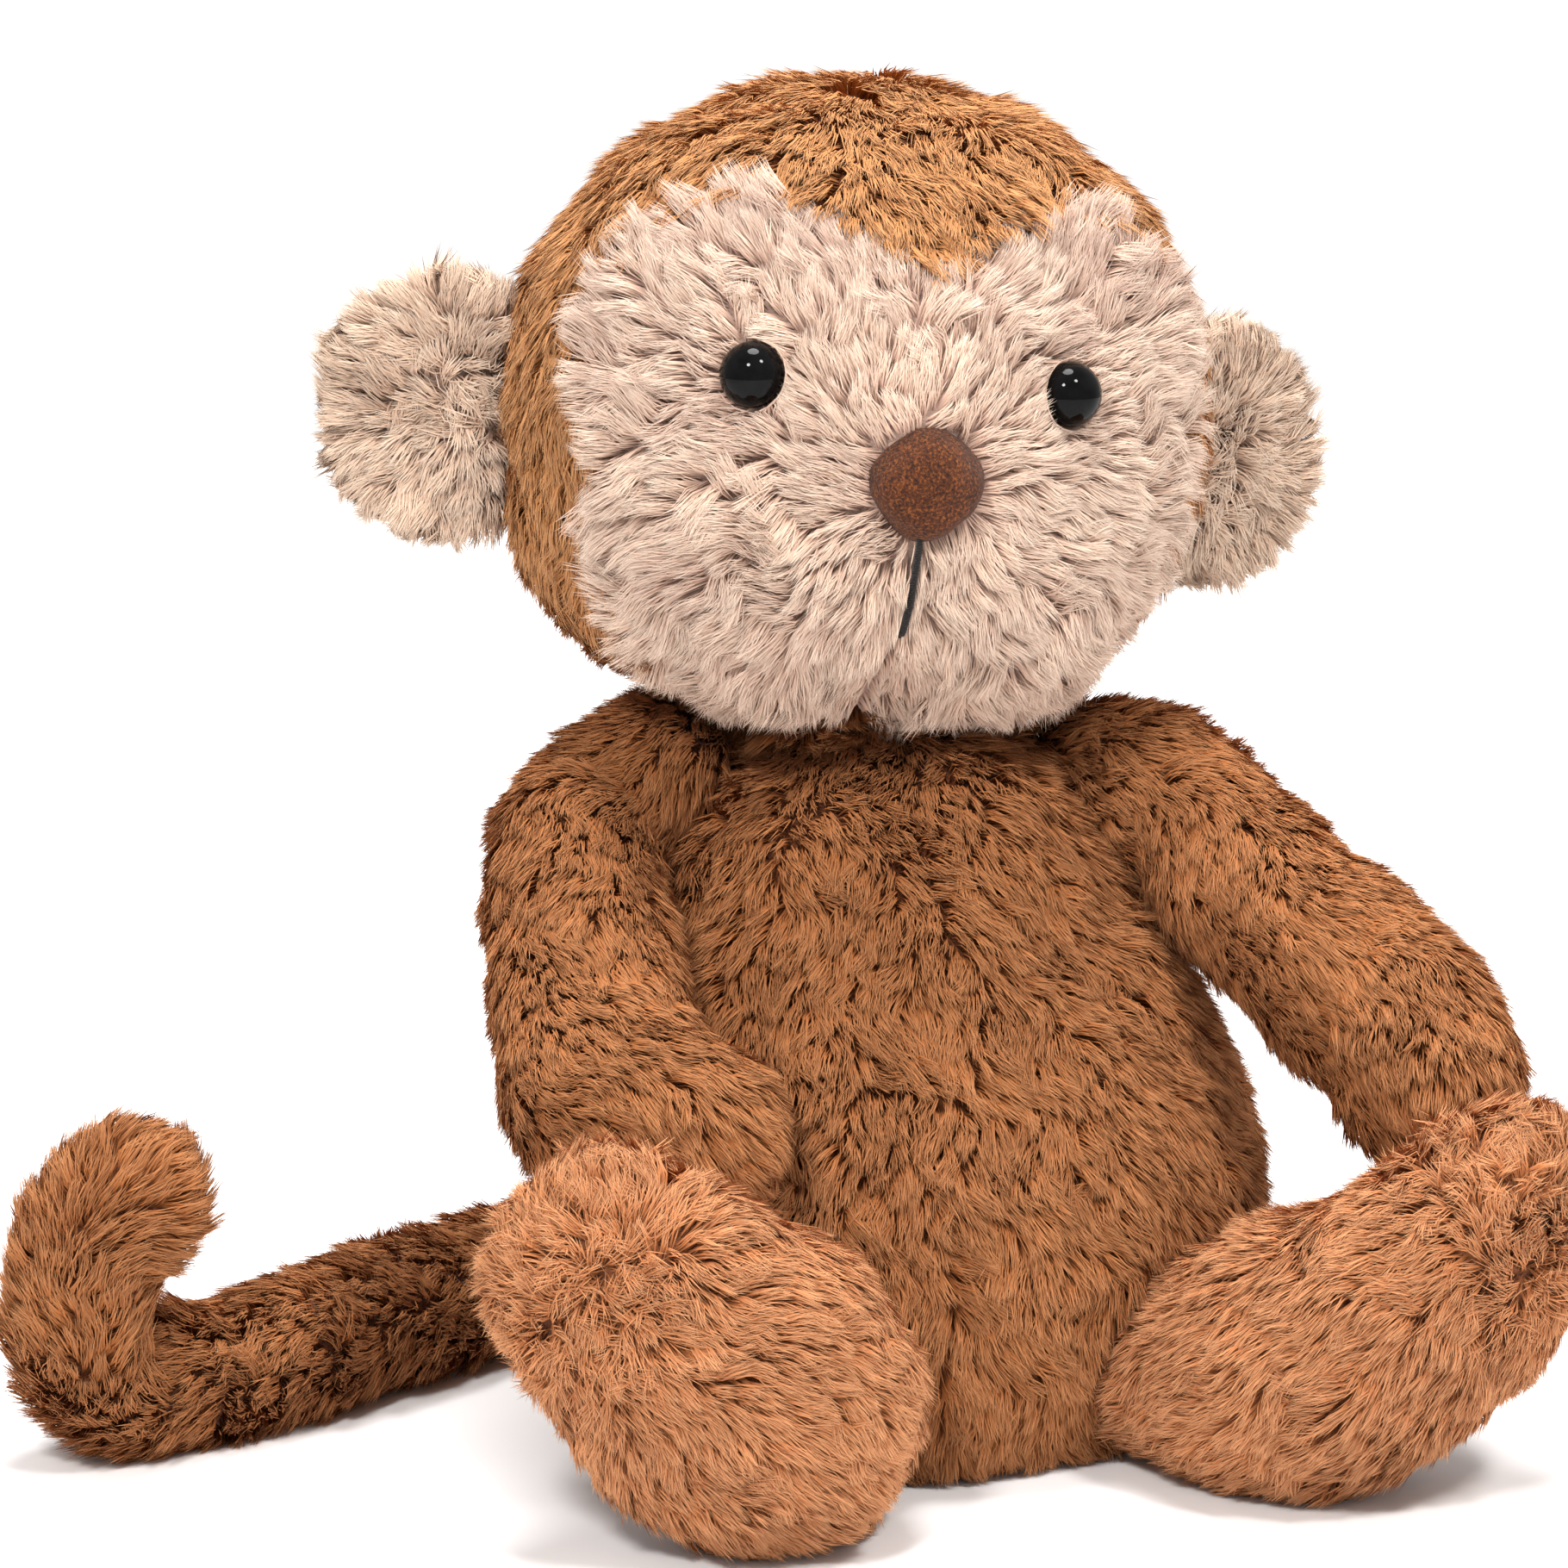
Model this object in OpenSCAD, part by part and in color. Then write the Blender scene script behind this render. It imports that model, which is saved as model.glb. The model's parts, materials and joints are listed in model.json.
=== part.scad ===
// Sitting plush monkey, modelled at the cloth: the pile stands proud of these surfaces.
// +Z is up and the monkey looks along -Y. Its right hand side is -X.
// The origin is the centre of the flat seat face.

/* [Head] */
// Width of the head across the cloth
head_w = 107; // [100:1:110]
// Height of the head
head_h = 96; // [94:1:100]
// Depth of the back of the head behind its centre
head_back = 46; // [42:1:50]
// Depth of the face in front of the centre, without the muzzle
head_front = 44; // [41:1:46]
// How far the muzzle stands out of the face
muzzle = 5.5; // [3:0.5:7]
// Sideways roll of the head, towards its left
head_roll = 5; // [0:1:8]

/* [Ears] */
// Height of an ear
ear_h = 37; // [34:1:40]
// How far an ear stands out from the head
ear_reach = 26.5; // [24:0.5:29]
// Thickness of one ear panel
ear_panel = 3.6; // [2.6:0.2:4.4]
// Angle that the ears are swept back
ear_sweep = 24; // [15:1:30]

/* [Face trim] */
// Diameter of the eye dome
eye_d = 10; // [9:0.5:11]
// Diameter of the eye stem
stem_d = 3; // [2.5:0.5:3.5]
// Width of the nose patch
nose_w = 17; // [15:0.5:19]
// Thickness of the mouth thread
thread_d = 1.2; // [0.8:0.1:1.6]

/* [Body] */
// Widest radius of the torso
torso_r = 54.5; // [52:0.5:56]
// Height of the top of the torso
torso_h = 111; // [108:0.5:112]
// Thickness of the cloth with its backing
cloth = 1.6; // [1.2:0.1:2]

/* [Limbs] */
// Thickness of the upper arm
arm_d = 22; // [20:0.5:24]
// Thickness of a hand
hand_d = 27; // [25:0.5:28]
// Width of a foot
foot_w = 41; // [38:0.5:42]
// Thickness of the tail
tail_d = 18; // [16:0.5:19]

/* [Hidden] */

brown = "#A96A3C";
crown_brown = "#B5723E";
beige = "#D3BCA9";
ear_beige = "#C2AA98";
suede = "#7A4226";
wadding = "#F2EFE8";

// Room between stuffing and cloth, and between a limb's root and its socket
fit = 0.2;
socket_gap = 3;

head_at = [-10.5, 6, 164];
neck_at = [-10.5, 8.5, 110.8];
neck_ring_h = 1.5;
neck_ring_r = 19;

// Paths of the limbs' centre lines, from root to tip
arm_right_path = [[-43, 6.5, 103.5], [-56.8, -1.5, 96], [-60, -15.5, 84], [-60, -29.5, 71.5], [-57.5, -41, 63.8], [-50, -47, 58.8]];
arm_left_path = [[28.8, 1.8, 101], [40.3, -10.4, 96.2], [46.5, -19, 87.5], [56.5, -33, 77.5], [64.5, -43.5, 68.5], [68.5, -49.5, 62.5]];
leg_right_path = [[-29, -43, 17], [-35, -56, 17.5], [-41, -68, 20.5], [-49, -73, 28], [-58.5, -71.5, 37], [-67, -68, 44.5]];
leg_left_path = [[30, -41, 17], [36, -51, 17.5], [44.5, -61, 20.5], [56, -68, 27.5], [65.5, -72, 37.5], [71, -74, 46.5]];
tail_path = [
    [-11, 54, 14], [-22, 61, 11], [-44, 56, 9.2], [-66, 38, 9.2], [-88, 22, 9.2], [-110, 8, 9.2],
    [-125, 0, 9.8], [-136, -5, 16], [-138, -6, 26], [-136, -7, 37], [-130, -8, 43.5]
];
arm_radii = [arm_d / 2, arm_d / 2 + 0.8, arm_d / 2 + 1.3, arm_d / 2 + 2, hand_d / 2, hand_d / 2 - 1];
leg_widths = [14, 16, foot_w / 2 + 1, foot_w / 2 + 3, foot_w / 2 + 1.5, foot_w / 2 - 3];
leg_depths = [14, 16, 20, 17, 15.5, 13.5];
tail_radii = [for (p = tail_path) tail_d / 2];

// Smooth curve through a list of points or numbers
function at(p, i) = p[min(max(i, 0), len(p) - 1)];
function curve(p, u) =
    let (i = min(floor(u), len(p) - 2), t = u - i, a = at(p, i - 1), b = p[i], c = p[i + 1], d = at(p, i + 2))
    0.5 * (2 * b + (c - a) * t + (2 * a - 5 * b + 4 * c - d) * t * t + (3 * b - a - 3 * c + d) * t * t * t);
function unit(v) = v / norm(v);
function flat(lists) = [for (l = lists) each l];

// Rings round a limb: a rounded root, the curve itself and a rounded tip.
// Each ring is an ellipse of width w across the seam plane's normal and depth d in that plane.
cap_steps = 4;
cap_angle = 84;
function stations(path, steps) =
    let (last = len(path) - 1) concat(
        [for (k = [0:cap_steps - 1]) [0, cap_angle * (1 - k / cap_steps), -1]],
        [for (k = [0:steps]) [last * k / steps, 0, 1]],
        [for (k = [1:cap_steps]) [last, cap_angle * k / cap_steps, 1]]
    );
function limb_ring(path, widths, depths, across, s, sides, from, to, inset) =
    let (
        u = s[0],
        e = 0.02,
        tangent = unit(curve(path, min(u + e, len(path) - 1)) - curve(path, max(u - e, 0))),
        side = unit(across - tangent * (across * tangent)),
        rise = cross(side, tangent),
        w = curve(widths, u) - inset,
        d = curve(depths, u) - inset,
        centre = curve(path, u) + tangent * sin(s[1]) * s[2] * (w + d) / 2
    )
    [for (k = [0:sides]) let (q = from + (to - from) * k / sides)
        centre + cos(s[1]) * (side * w * cos(q) + rise * d * sin(q))];

// Faces of a closed tube of n rings with m points each
function tube_faces(n, m) = concat(
    [[for (j = [m - 1:-1:0]) j]],
    [for (i = [0:n - 2], j = [0:m - 1]) let (k = (j + 1) % m) [i * m + j, i * m + k, (i + 1) * m + k, (i + 1) * m + j]],
    [[for (j = [0:m - 1]) (n - 1) * m + j]]
);
// Faces of a cloth panel: an outer and an inner grid of n rows by m points, walled round the edge
function panel_faces(n, m) =
    let (o = n * m)
    concat(
        flat([for (i = [0:n - 2], j = [0:m - 2]) let (a = i * m + j, b = a + 1, c = a + m + 1, d = a + m) [
            [a, b, c, d], [o + d, o + c, o + b, o + a]]]),
        flat([for (j = [0:m - 2]) let (a = (n - 1) * m + j) [
            [j + 1, j, o + j, o + j + 1], [a, a + 1, o + a + 1, o + a]]]),
        flat([for (i = [0:n - 2]) let (a = i * m, b = a + m - 1) [
            [a, a + m, o + a + m, o + a], [b + m, b, o + b, o + b + m]]])
    );

limb_sides = 14;
// Half of a limb's cover, between two seams
module limb_panel(path, widths, depths, across, from, steps) {
    s = stations(path, steps);
    half = limb_sides / 2;
    outer = [for (x = s) limb_ring(path, widths, depths, across, x, half, from, from + 180, 0)];
    inner = [for (x = s) limb_ring(path, widths, depths, across, x, half, from, from + 180, cloth)];
    polyhedron(concat(flat(outer), flat(inner)), panel_faces(len(s), half + 1), convexity = 6);
}
// The stuffing inside a limb
module limb_core(path, widths, depths, across, from, steps) {
    rings = [for (x = stations(path, steps))
        let (ring = limb_ring(path, widths, depths, across, x, limb_sides, from, from + 360, cloth + 2 * fit))
        [for (k = [0:limb_sides - 1]) ring[k]]];
    polyhedron(flat(rings), tube_faces(len(rings), limb_sides), convexity = 6);
}

arm_right_across = [0.7, -0.5, 0.5];
arm_left_across = [-0.5, -0.6, 0.6];
leg_right_across = unit(cross([-17, -30, 1], [-27, -5, 28]));
leg_left_across = unit(cross([18, -24, 1], [27, -11, 28]));
tail_across = [0.43, -0.9, 0];
arm_steps = 9;
leg_steps = 10;
tail_steps = 20;

// Head surface. theta is the angle from straight ahead, phi the angle round the face from its left.
function gaze(theta, phi) = [sin(theta) * cos(phi), -cos(theta), sin(theta) * sin(phi)];
function swell(n, dir, height, spread) =
    let (angle = acos(min(1, n * unit(dir)))) height * exp(-pow(angle / spread, 2));
function both_sides(n, dir, height, spread) =
    swell(n, dir, height, spread) + swell(n, [-dir[0], dir[1], dir[2]], height, spread);
function head_radius(n) =
    let (y = n[1] < 0 ? head_front : head_back, q = [n[0] / (head_w / 2), n[1] / y, n[2] / (head_h / 2)])
    1 / norm(q)
        + swell(n, [0, -1, -0.12], muzzle, 24)
        + both_sides(n, [0.4, -0.62, -0.64], 7, 24)
        + both_sides(n, [0.72, 0.1, -0.7], 6, 28)
        + swell(n, [0, -0.62, -0.8], -3, 10)
        + both_sides(n, [0.6, -0.8, 0.25], -1.5, 18);
function on_head(theta, phi, inset) = let (n = gaze(theta, phi)) n * (head_radius(n) - inset);

// Edge of the face panel: how far it reaches from the centre, at angles from the top down one side
face_phi = [90, 80, 68, 56, 44, 26, 9, -10, -22, -34, -47, -60, -75, -90];
face_theta = [30, 36, 45, 57, 63, 69, 71, 61, 67, 69, 72, 74, 76, 68];
function face_edge(phi) =
    let (
        folded = abs(phi) > 90 ? (phi > 0 ? 180 : -180) - phi : phi,
        i = max([for (k = [0:len(face_phi) - 2]) if (face_phi[k] >= folded) k]),
        u = i + (face_phi[i] - folded) / (face_phi[i] - face_phi[i + 1])
    ) curve(face_theta, u);

around = 44;
function face_rings(inset, from, to, steps) =
    [for (k = [0:steps]) [for (j = [0:around - 1])
        let (phi = 90 - 360 * j / around, phi2 = phi < -180 ? phi + 360 : phi, edge = face_edge(phi2))
        on_head(from < 0 ? edge + (to - edge) * k / steps : from + (edge - from) * k / steps, phi2, inset)]];

// Faces of a cup: closed at ring 0, with a rim at its last ring
function cup_faces(n, m, flip) =
    let (o = n * m, f = concat(
        [[for (j = [0:m - 1]) j]],
        [for (i = [0:n - 2], j = [0:m - 1]) let (k = (j + 1) % m)
            [i * m + k, i * m + j, (i + 1) * m + j, (i + 1) * m + k]],
        [for (j = [0:m - 1]) let (k = (j + 1) % m, a = (n - 1) * m) [a + k, a + j, o + a + j, o + a + k]],
        [for (i = [0:n - 2], j = [0:m - 1]) let (k = (j + 1) % m)
            [o + i * m + j, o + i * m + k, o + (i + 1) * m + k, o + (i + 1) * m + j]],
        [[for (j = [m - 1:-1:0]) o + j]]
    ))
    flip ? [for (x = f) [for (k = [len(x) - 1:-1:0]) x[k]]] : f;

module in_head() { translate(head_at) rotate([0, head_roll, 0]) children(); }

head_cloth = 2;
module face_panel() {
    outer = face_rings(0, 3, 0, 8);
    inner = face_rings(head_cloth, 3, 0, 8);
    color(beige) in_head() difference() {
        polyhedron(concat(flat(outer), flat(inner)), cup_faces(len(outer), around, false), convexity = 6);
        for (side = [-1, 1]) at_eye(side) cylinder(d = stem_d + fit, h = 12, center = true, $fn = 24);
    }
}
module head_cover() {
    steps = 9;
    outer = face_rings(0, -1, 177, steps);
    inner = face_rings(head_cloth, -1, 177, steps);
    turned = [for (r = [outer, inner]) [for (k = [steps:-1:0]) r[k]]];
    color(crown_brown) in_head()
        polyhedron(concat(flat(turned[0]), flat(turned[1])), cup_faces(steps + 1, around, true), convexity = 6);
}
module head_stuffing() {
    rows = 14;
    cols = 22;
    rings = [for (i = [0:rows]) [for (j = [0:cols - 1])
        on_head(4 + 172 * i / rows, 90 + 360 * j / cols, head_cloth + 1)]];
    color(wadding) in_head() difference() {
        polyhedron(flat(rings), tube_faces(rows + 1, cols), convexity = 6);
        for (side = [-1, 1]) at_eye(side) cylinder(d = washer_d + 1, h = 24, center = true, $fn = 24);
    }
}

// Eyes: a domed head on a stem that a washer grips behind the cloth
// Sewn a little unevenly, as by hand: the right eye sits further out
function eye_aim(side) = unit([side < 0 ? -28.5 : 23.5, -42, side < 0 ? 7.5 : 7]);
washer_d = 11;
module at_eye(side) {
    n = eye_aim(side);
    translate(n * head_radius(n)) rotate([0, 0, atan2(n[1], n[0])]) rotate([0, acos(n[2]), 0]) children();
}
module eye(side) {
    dome = eye_d / 2;
    seat = 1.2;
    color("#0C0A0A") in_head() at_eye(side) {
        translate([0, 0, seat]) intersection() {
            sphere(r = dome, $fn = 48);
            translate([0, 0, dome]) cube([4 * dome, 4 * dome, 2 * dome], center = true);
        }
        translate([0, 0, -9]) cylinder(d = stem_d, h = 9 + seat, $fn = 24);
    }
}
module eye_washer(side) {
    color("#EDEDED") in_head() at_eye(side) translate([0, 0, -head_cloth - 2.6]) difference() {
        cylinder(d = washer_d, h = 1, $fn = 32);
        translate([0, 0, -1]) cylinder(d = stem_d + 0.1, h = 3, $fn = 24);
    }
}
module eye_right() eye(-1);
module eye_left() eye(1);
module eye_washer_right() eye_washer(-1);
module eye_washer_left() eye_washer(1);

// Nose: a suede patch over a small pad
nose_aim = [0, -1, -0.13];
module at_nose() {
    n = unit(nose_aim);
    translate(n * head_radius(n)) rotate([0, 0, -90]) rotate([0, acos(n[2]), 0]) children();
}
function nose_dome(r, h) = [for (k = [0:10]) [r * sin(9 * k), h * cos(9 * k)]];
nose_high = 5;
nose_floor = 0.6;
module nose_patch() {
    color(suede) in_head() at_nose() translate([0, 0, nose_floor]) rotate_extrude($fn = 64)
        polygon(concat(nose_dome(nose_w / 2, nose_high), [for (k = [10:-1:0]) nose_dome(nose_w / 2 - 1, nose_high - 1)[k]]));
}
module nose_pad() {
    color(wadding) in_head() at_nose() translate([0, 0, nose_floor]) rotate_extrude($fn = 64)
        polygon(concat([[0, 0]], nose_dome(nose_w / 2 - 1 - fit, nose_high - 1 - fit)));
}
module mouth_stitch() {
    steps = 9;
    ring = 8;
    path = [for (k = [0:steps]) on_head(19 + 22 * k / steps, -90, -thread_d / 2 - 0.1)];
    rings = [for (k = [0:steps])
        let (t = unit(path[min(k + 1, steps)] - path[max(k - 1, 0)]), n = cross([1, 0, 0], t))
        [for (j = [0:ring - 1]) path[k] + thread_d / 2 * ([1, 0, 0] * cos(360 * j / ring) + n * sin(360 * j / ring))]];
    color("#17110E") in_head()
        polyhedron(flat(rings), tube_faces(steps + 1, ring), convexity = 4);
}

// Ears: two cloth panels sewn round the edge, with a root that follows the head.
// The left one is sewn a little lower.
function ear_root(side) = [55, 9, side < 0 ? -7.5 : -9];
module ear_outline() {
    r = ear_h / 2;
    intersection() {
        hull() {
            translate([ear_reach - r, 0]) circle(r, $fn = 48);
            translate([2, 0]) square([2, ear_h - 4], center = true);
        }
        difference() {
            translate([0, -ear_h]) square([ear_reach + 5, 2 * ear_h]);
            translate([-head_w / 2, 0]) circle(head_w / 2, $fn = 96);
        }
    }
}
module ear(side, front) {
    in_head() mirror([side < 0 ? 1 : 0, 0, 0]) translate(ear_root(side))
        rotate([0, 0, ear_sweep]) rotate([90, 0, 0])
        translate([0, 0, front ? 0 : -ear_panel]) linear_extrude(ear_panel) ear_outline();
}
module ear_right_front() color(ear_beige) ear(-1, true);
module ear_right_back() color(ear_beige) ear(-1, false);
module ear_left_front() color(ear_beige) ear(1, true);
module ear_left_back() color(ear_beige) ear(1, false);

// Torso: a pear that leans a little, cut flat at the seat
lean = unit(neck_at);
module leaning() { rotate(acos(lean[2]), [-lean[1], lean[0], 0]) children(); }
torso_profile = [
    [0, -9], [22, -8], [39, -3.5], [49, 6], [torso_r - 0.8, 20], [torso_r, 36], [torso_r - 3.5, 53],
    [44, 72], [36.5, 90], [29, 102.5], [17, torso_h - 1.8], [0, torso_h]
];
profile_steps = 3;
function profile(inset) = [for (k = [0:(len(torso_profile) - 1) * profile_steps])
    let (
        u = k / profile_steps,
        e = 0.05,
        t = unit(curve(torso_profile, min(u + e, len(torso_profile) - 1)) - curve(torso_profile, max(u - e, 0))),
        p = curve(torso_profile, u) + [-t[1], t[0]] * inset
    ) [k == 0 || k == (len(torso_profile) - 1) * profile_steps ? 0 : max(p[0], 0), p[1]]];
function reversed(l) = [for (k = [len(l) - 1:-1:0]) l[k]];
roots = [
    [arm_right_path[0], arm_d / 2], [arm_left_path[0], arm_d / 2],
    [leg_right_path[0], leg_widths[0]], [leg_left_path[0], leg_widths[0]], [tail_path[0], tail_d / 2]
];
module sockets(extra) { for (r = roots) translate(r[0]) sphere(r = r[1] + socket_gap + extra, $fn = 48); }
module below(z) { translate([-100, -100, z - 60]) cube([200, 200, 60]); }
module torso_half(turn) {
    difference() {
        leaning() rotate([0, 0, turn]) rotate_extrude(angle = 180, $fn = 72)
            polygon(concat(profile(0), reversed(profile(cloth))));
        below(0);
        sockets(0);
    }
}
module torso_front() color(brown) torso_half(180);
module torso_back() color(brown) torso_half(0);
module inner_torso(inset) { leaning() rotate_extrude($fn = 72) polygon(profile(inset)); }
module seat_panel() {
    color(brown) difference() {
        intersection() {
            inner_torso(cloth + 0.05);
            translate([-60, -60, 0]) cube([120, 120, cloth]);
        }
        sockets(0);
    }
}
beans_r = 25;
beans_h = 15;
beans_at = [0, 4, cloth + fit];
module bean_shape(extra) {
    translate(beans_at) rotate_extrude($fn = 64) intersection() {
        translate([0, -extra]) square([beans_r + extra, beans_h + 2 * extra]);
        union() {
            translate([0, -extra]) square([beans_r - beans_h / 2, beans_h + 2 * extra]);
            translate([beans_r - beans_h / 2, beans_h / 2]) circle(beans_h / 2 + extra, $fn = 40);
        }
    }
}
module seat_beans() color("#D8D2C4") bean_shape(0);
module torso_stuffing() {
    color(wadding) difference() {
        inner_torso(cloth + fit);
        below(cloth + fit);
        sockets(cloth);
        bean_shape(fit);
    }
}
module closing_stitch() {
    count = 9;
    color("#6B4024") leaning() for (k = [0:count - 1]) {
        h = 52 + 4 * k;
        u = [for (i = [0:(len(torso_profile) - 1) * 10]) if (curve(torso_profile, i / 10)[1] > h) i][0] / 10;
        translate([0, curve(torso_profile, u)[0] + 1.2, h]) rotate([0, 90, 0])
            cylinder(r = 0.4, h = 3, center = true, $fn = 16);
    }
}
module neck_ring() {
    color("#6B4024") translate(neck_at) difference() {
        cylinder(r = neck_ring_r, h = neck_ring_h, $fn = 64);
        translate([0, 0, -1]) cylinder(r = neck_ring_r - 5, h = neck_ring_h + 2, $fn = 64);
    }
}

module arm_right_inner() color(brown)
    limb_panel(arm_right_path, arm_radii, arm_radii, arm_right_across, 270, arm_steps);
module arm_right_outer() color(brown)
    limb_panel(arm_right_path, arm_radii, arm_radii, arm_right_across, 90, arm_steps);
module arm_right_stuffing() color(wadding)
    limb_core(arm_right_path, arm_radii, arm_radii, arm_right_across, 90, arm_steps);
module arm_left_inner() color(brown)
    limb_panel(arm_left_path, arm_radii, arm_radii, arm_left_across, 270, arm_steps);
module arm_left_outer() color(brown)
    limb_panel(arm_left_path, arm_radii, arm_radii, arm_left_across, 90, arm_steps);
module arm_left_stuffing() color(wadding)
    limb_core(arm_left_path, arm_radii, arm_radii, arm_left_across, 90, arm_steps);
module leg_right_inner() color(brown)
    limb_panel(leg_right_path, leg_widths, leg_depths, leg_right_across, 270, leg_steps);
module leg_right_outer() color(brown)
    limb_panel(leg_right_path, leg_widths, leg_depths, leg_right_across, 90, leg_steps);
module leg_right_stuffing() color(wadding)
    limb_core(leg_right_path, leg_widths, leg_depths, leg_right_across, 90, leg_steps);
module leg_left_inner() color(brown)
    limb_panel(leg_left_path, leg_widths, leg_depths, leg_left_across, 90, leg_steps);
module leg_left_outer() color(brown)
    limb_panel(leg_left_path, leg_widths, leg_depths, leg_left_across, 270, leg_steps);
module leg_left_stuffing() color(wadding)
    limb_core(leg_left_path, leg_widths, leg_depths, leg_left_across, 90, leg_steps);
module tail_upper() color(brown)
    limb_panel(tail_path, tail_radii, tail_radii, tail_across, 0, tail_steps);
module tail_lower() color(brown)
    limb_panel(tail_path, tail_radii, tail_radii, tail_across, 180, tail_steps);
module tail_stuffing() color(wadding)
    limb_core(tail_path, tail_radii, tail_radii, tail_across, 0, tail_steps);

head_cover();
face_panel();
head_stuffing();
nose_patch();
nose_pad();
mouth_stitch();
eye_right();
eye_left();
eye_washer_right();
eye_washer_left();
ear_right_front();
ear_right_back();
ear_left_front();
ear_left_back();
neck_ring();
torso_front();
torso_back();
seat_panel();
torso_stuffing();
seat_beans();
closing_stitch();
arm_right_inner();
arm_right_outer();
arm_right_stuffing();
arm_left_inner();
arm_left_outer();
arm_left_stuffing();
leg_right_inner();
leg_right_outer();
leg_right_stuffing();
leg_left_inner();
leg_left_outer();
leg_left_stuffing();
tail_upper();
tail_lower();
tail_stuffing();
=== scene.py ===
"""Looks of the sitting plush monkey: cloth skins, long pile, face trim and a plain studio."""

from __future__ import annotations

import json
import logging
import math
from collections.abc import Callable, Sequence
from dataclasses import dataclass, field, replace
from enum import Enum

import bmesh
import bpy
import numpy as np
from mathutils import Matrix, Vector
from mathutils.bvhtree import BVHTree
from mathutils.kdtree import KDTree

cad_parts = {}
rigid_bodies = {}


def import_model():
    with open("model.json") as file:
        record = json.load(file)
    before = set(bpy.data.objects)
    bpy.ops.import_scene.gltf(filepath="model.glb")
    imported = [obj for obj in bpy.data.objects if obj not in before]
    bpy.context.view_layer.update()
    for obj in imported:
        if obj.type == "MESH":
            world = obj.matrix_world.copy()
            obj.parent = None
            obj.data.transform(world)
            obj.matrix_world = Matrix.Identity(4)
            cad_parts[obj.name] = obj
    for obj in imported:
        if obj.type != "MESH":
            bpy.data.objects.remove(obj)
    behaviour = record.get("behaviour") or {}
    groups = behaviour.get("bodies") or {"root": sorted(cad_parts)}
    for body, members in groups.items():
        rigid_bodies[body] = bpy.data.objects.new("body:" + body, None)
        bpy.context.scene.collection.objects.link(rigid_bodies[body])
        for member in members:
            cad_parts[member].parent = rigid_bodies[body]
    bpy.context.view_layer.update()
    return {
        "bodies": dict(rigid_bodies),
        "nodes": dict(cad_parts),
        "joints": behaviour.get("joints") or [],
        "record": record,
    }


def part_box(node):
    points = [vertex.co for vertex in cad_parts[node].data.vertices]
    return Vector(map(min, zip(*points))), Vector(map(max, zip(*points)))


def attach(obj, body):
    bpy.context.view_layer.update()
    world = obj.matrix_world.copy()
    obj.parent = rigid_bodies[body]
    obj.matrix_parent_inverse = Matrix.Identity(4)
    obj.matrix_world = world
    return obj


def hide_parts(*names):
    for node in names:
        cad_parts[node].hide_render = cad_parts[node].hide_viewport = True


LOG = logging.getLogger("plush_monkey")
MM = 0.001
# Waves that a ripple adds up, and the level that brings their sum to about -1 to 1.
WAVES, WAVE_LEVEL = 8, 2.6
# How far under another body's skin a root may lie and still grow pile.
HIDDEN_DEPTH = 0.8 * MM
# Random turn of the pile where it is ruffled, in degrees.
RUFFLE = 110.0
Rgb = tuple[float, float, float]
Points = np.ndarray
Comb = Callable[[Points, Points], Points]
Weight = Callable[[Points], np.ndarray]
Item = bpy.types.Object
Material = bpy.types.Material
Mesh = bpy.types.Mesh
Socket = bpy.types.NodeSocket


class Side(Enum):
    """A side of the monkey, seen from the monkey itself."""

    RIGHT = "right"
    LEFT = "left"

    @property
    def sign(self) -> int:
        """Direction of this side along X."""
        return -1 if self is Side.RIGHT else 1


# --------------------------------------------------------------------------- numbers and points


def unit(v: Points) -> Points:
    """One vector or an array of them, scaled to length one."""
    v = np.asarray(v, float)
    return v / np.maximum(np.linalg.norm(v, axis=-1, keepdims=True), 1e-12)


def along_surface(direction: Points, normal: Points) -> Points:
    """Unit vectors along the part of each direction that lies in the surface."""
    direction = np.broadcast_to(direction, normal.shape)
    return unit(direction - normal * (direction * normal).sum(-1, keepdims=True))


def turned(v: Points, axis: Points, angle: np.ndarray) -> Points:
    """Vectors turned by angles in radians about unit axes at right angles to them."""
    return v * np.cos(angle)[:, None] + np.cross(axis, v) * np.sin(angle)[:, None]


def ripple(points: Points, scale: float, seed: int) -> np.ndarray:
    """Smooth random values over space, the same on every run.

    Args:
        points: Places to read.
        scale: Rough distance between neighbouring hills.
        seed: Which field.

    Returns:
        One value for each point, mostly from -1 to 1.
    """
    rng = np.random.default_rng(seed)
    waves = unit(rng.normal(size=(WAVES, 3)))
    waves *= (2 * math.pi / scale * rng.uniform(0.5, 1.5, WAVES))[:, None]
    phase = rng.uniform(0, 2 * math.pi, WAVES)
    return np.sin(points @ waves.T + phase).sum(1) / WAVE_LEVEL


def smooth_curve(points: Sequence[Sequence[float]], count: int) -> Points:
    """A smooth curve through a few points.

    Args:
        points: Points that the curve passes.
        count: Number of samples.

    Returns:
        The samples, evenly spread over the points' order.
    """
    p = np.asarray(points, float)
    u = np.linspace(0, len(p) - 1, count)
    i = np.minimum(u.astype(int), len(p) - 2)
    t = (u - i)[:, None]
    a, b, c, d = p[np.maximum(i - 1, 0)], p[i], p[i + 1], p[np.minimum(i + 2, len(p) - 1)]
    return 0.5 * (2 * b + (c - a) * t + (2 * a - 5 * b + 4 * c - d) * t**2 + (3 * b - a - 3 * c + d) * t**3)


# --------------------------------------------------------------------------- materials


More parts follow.
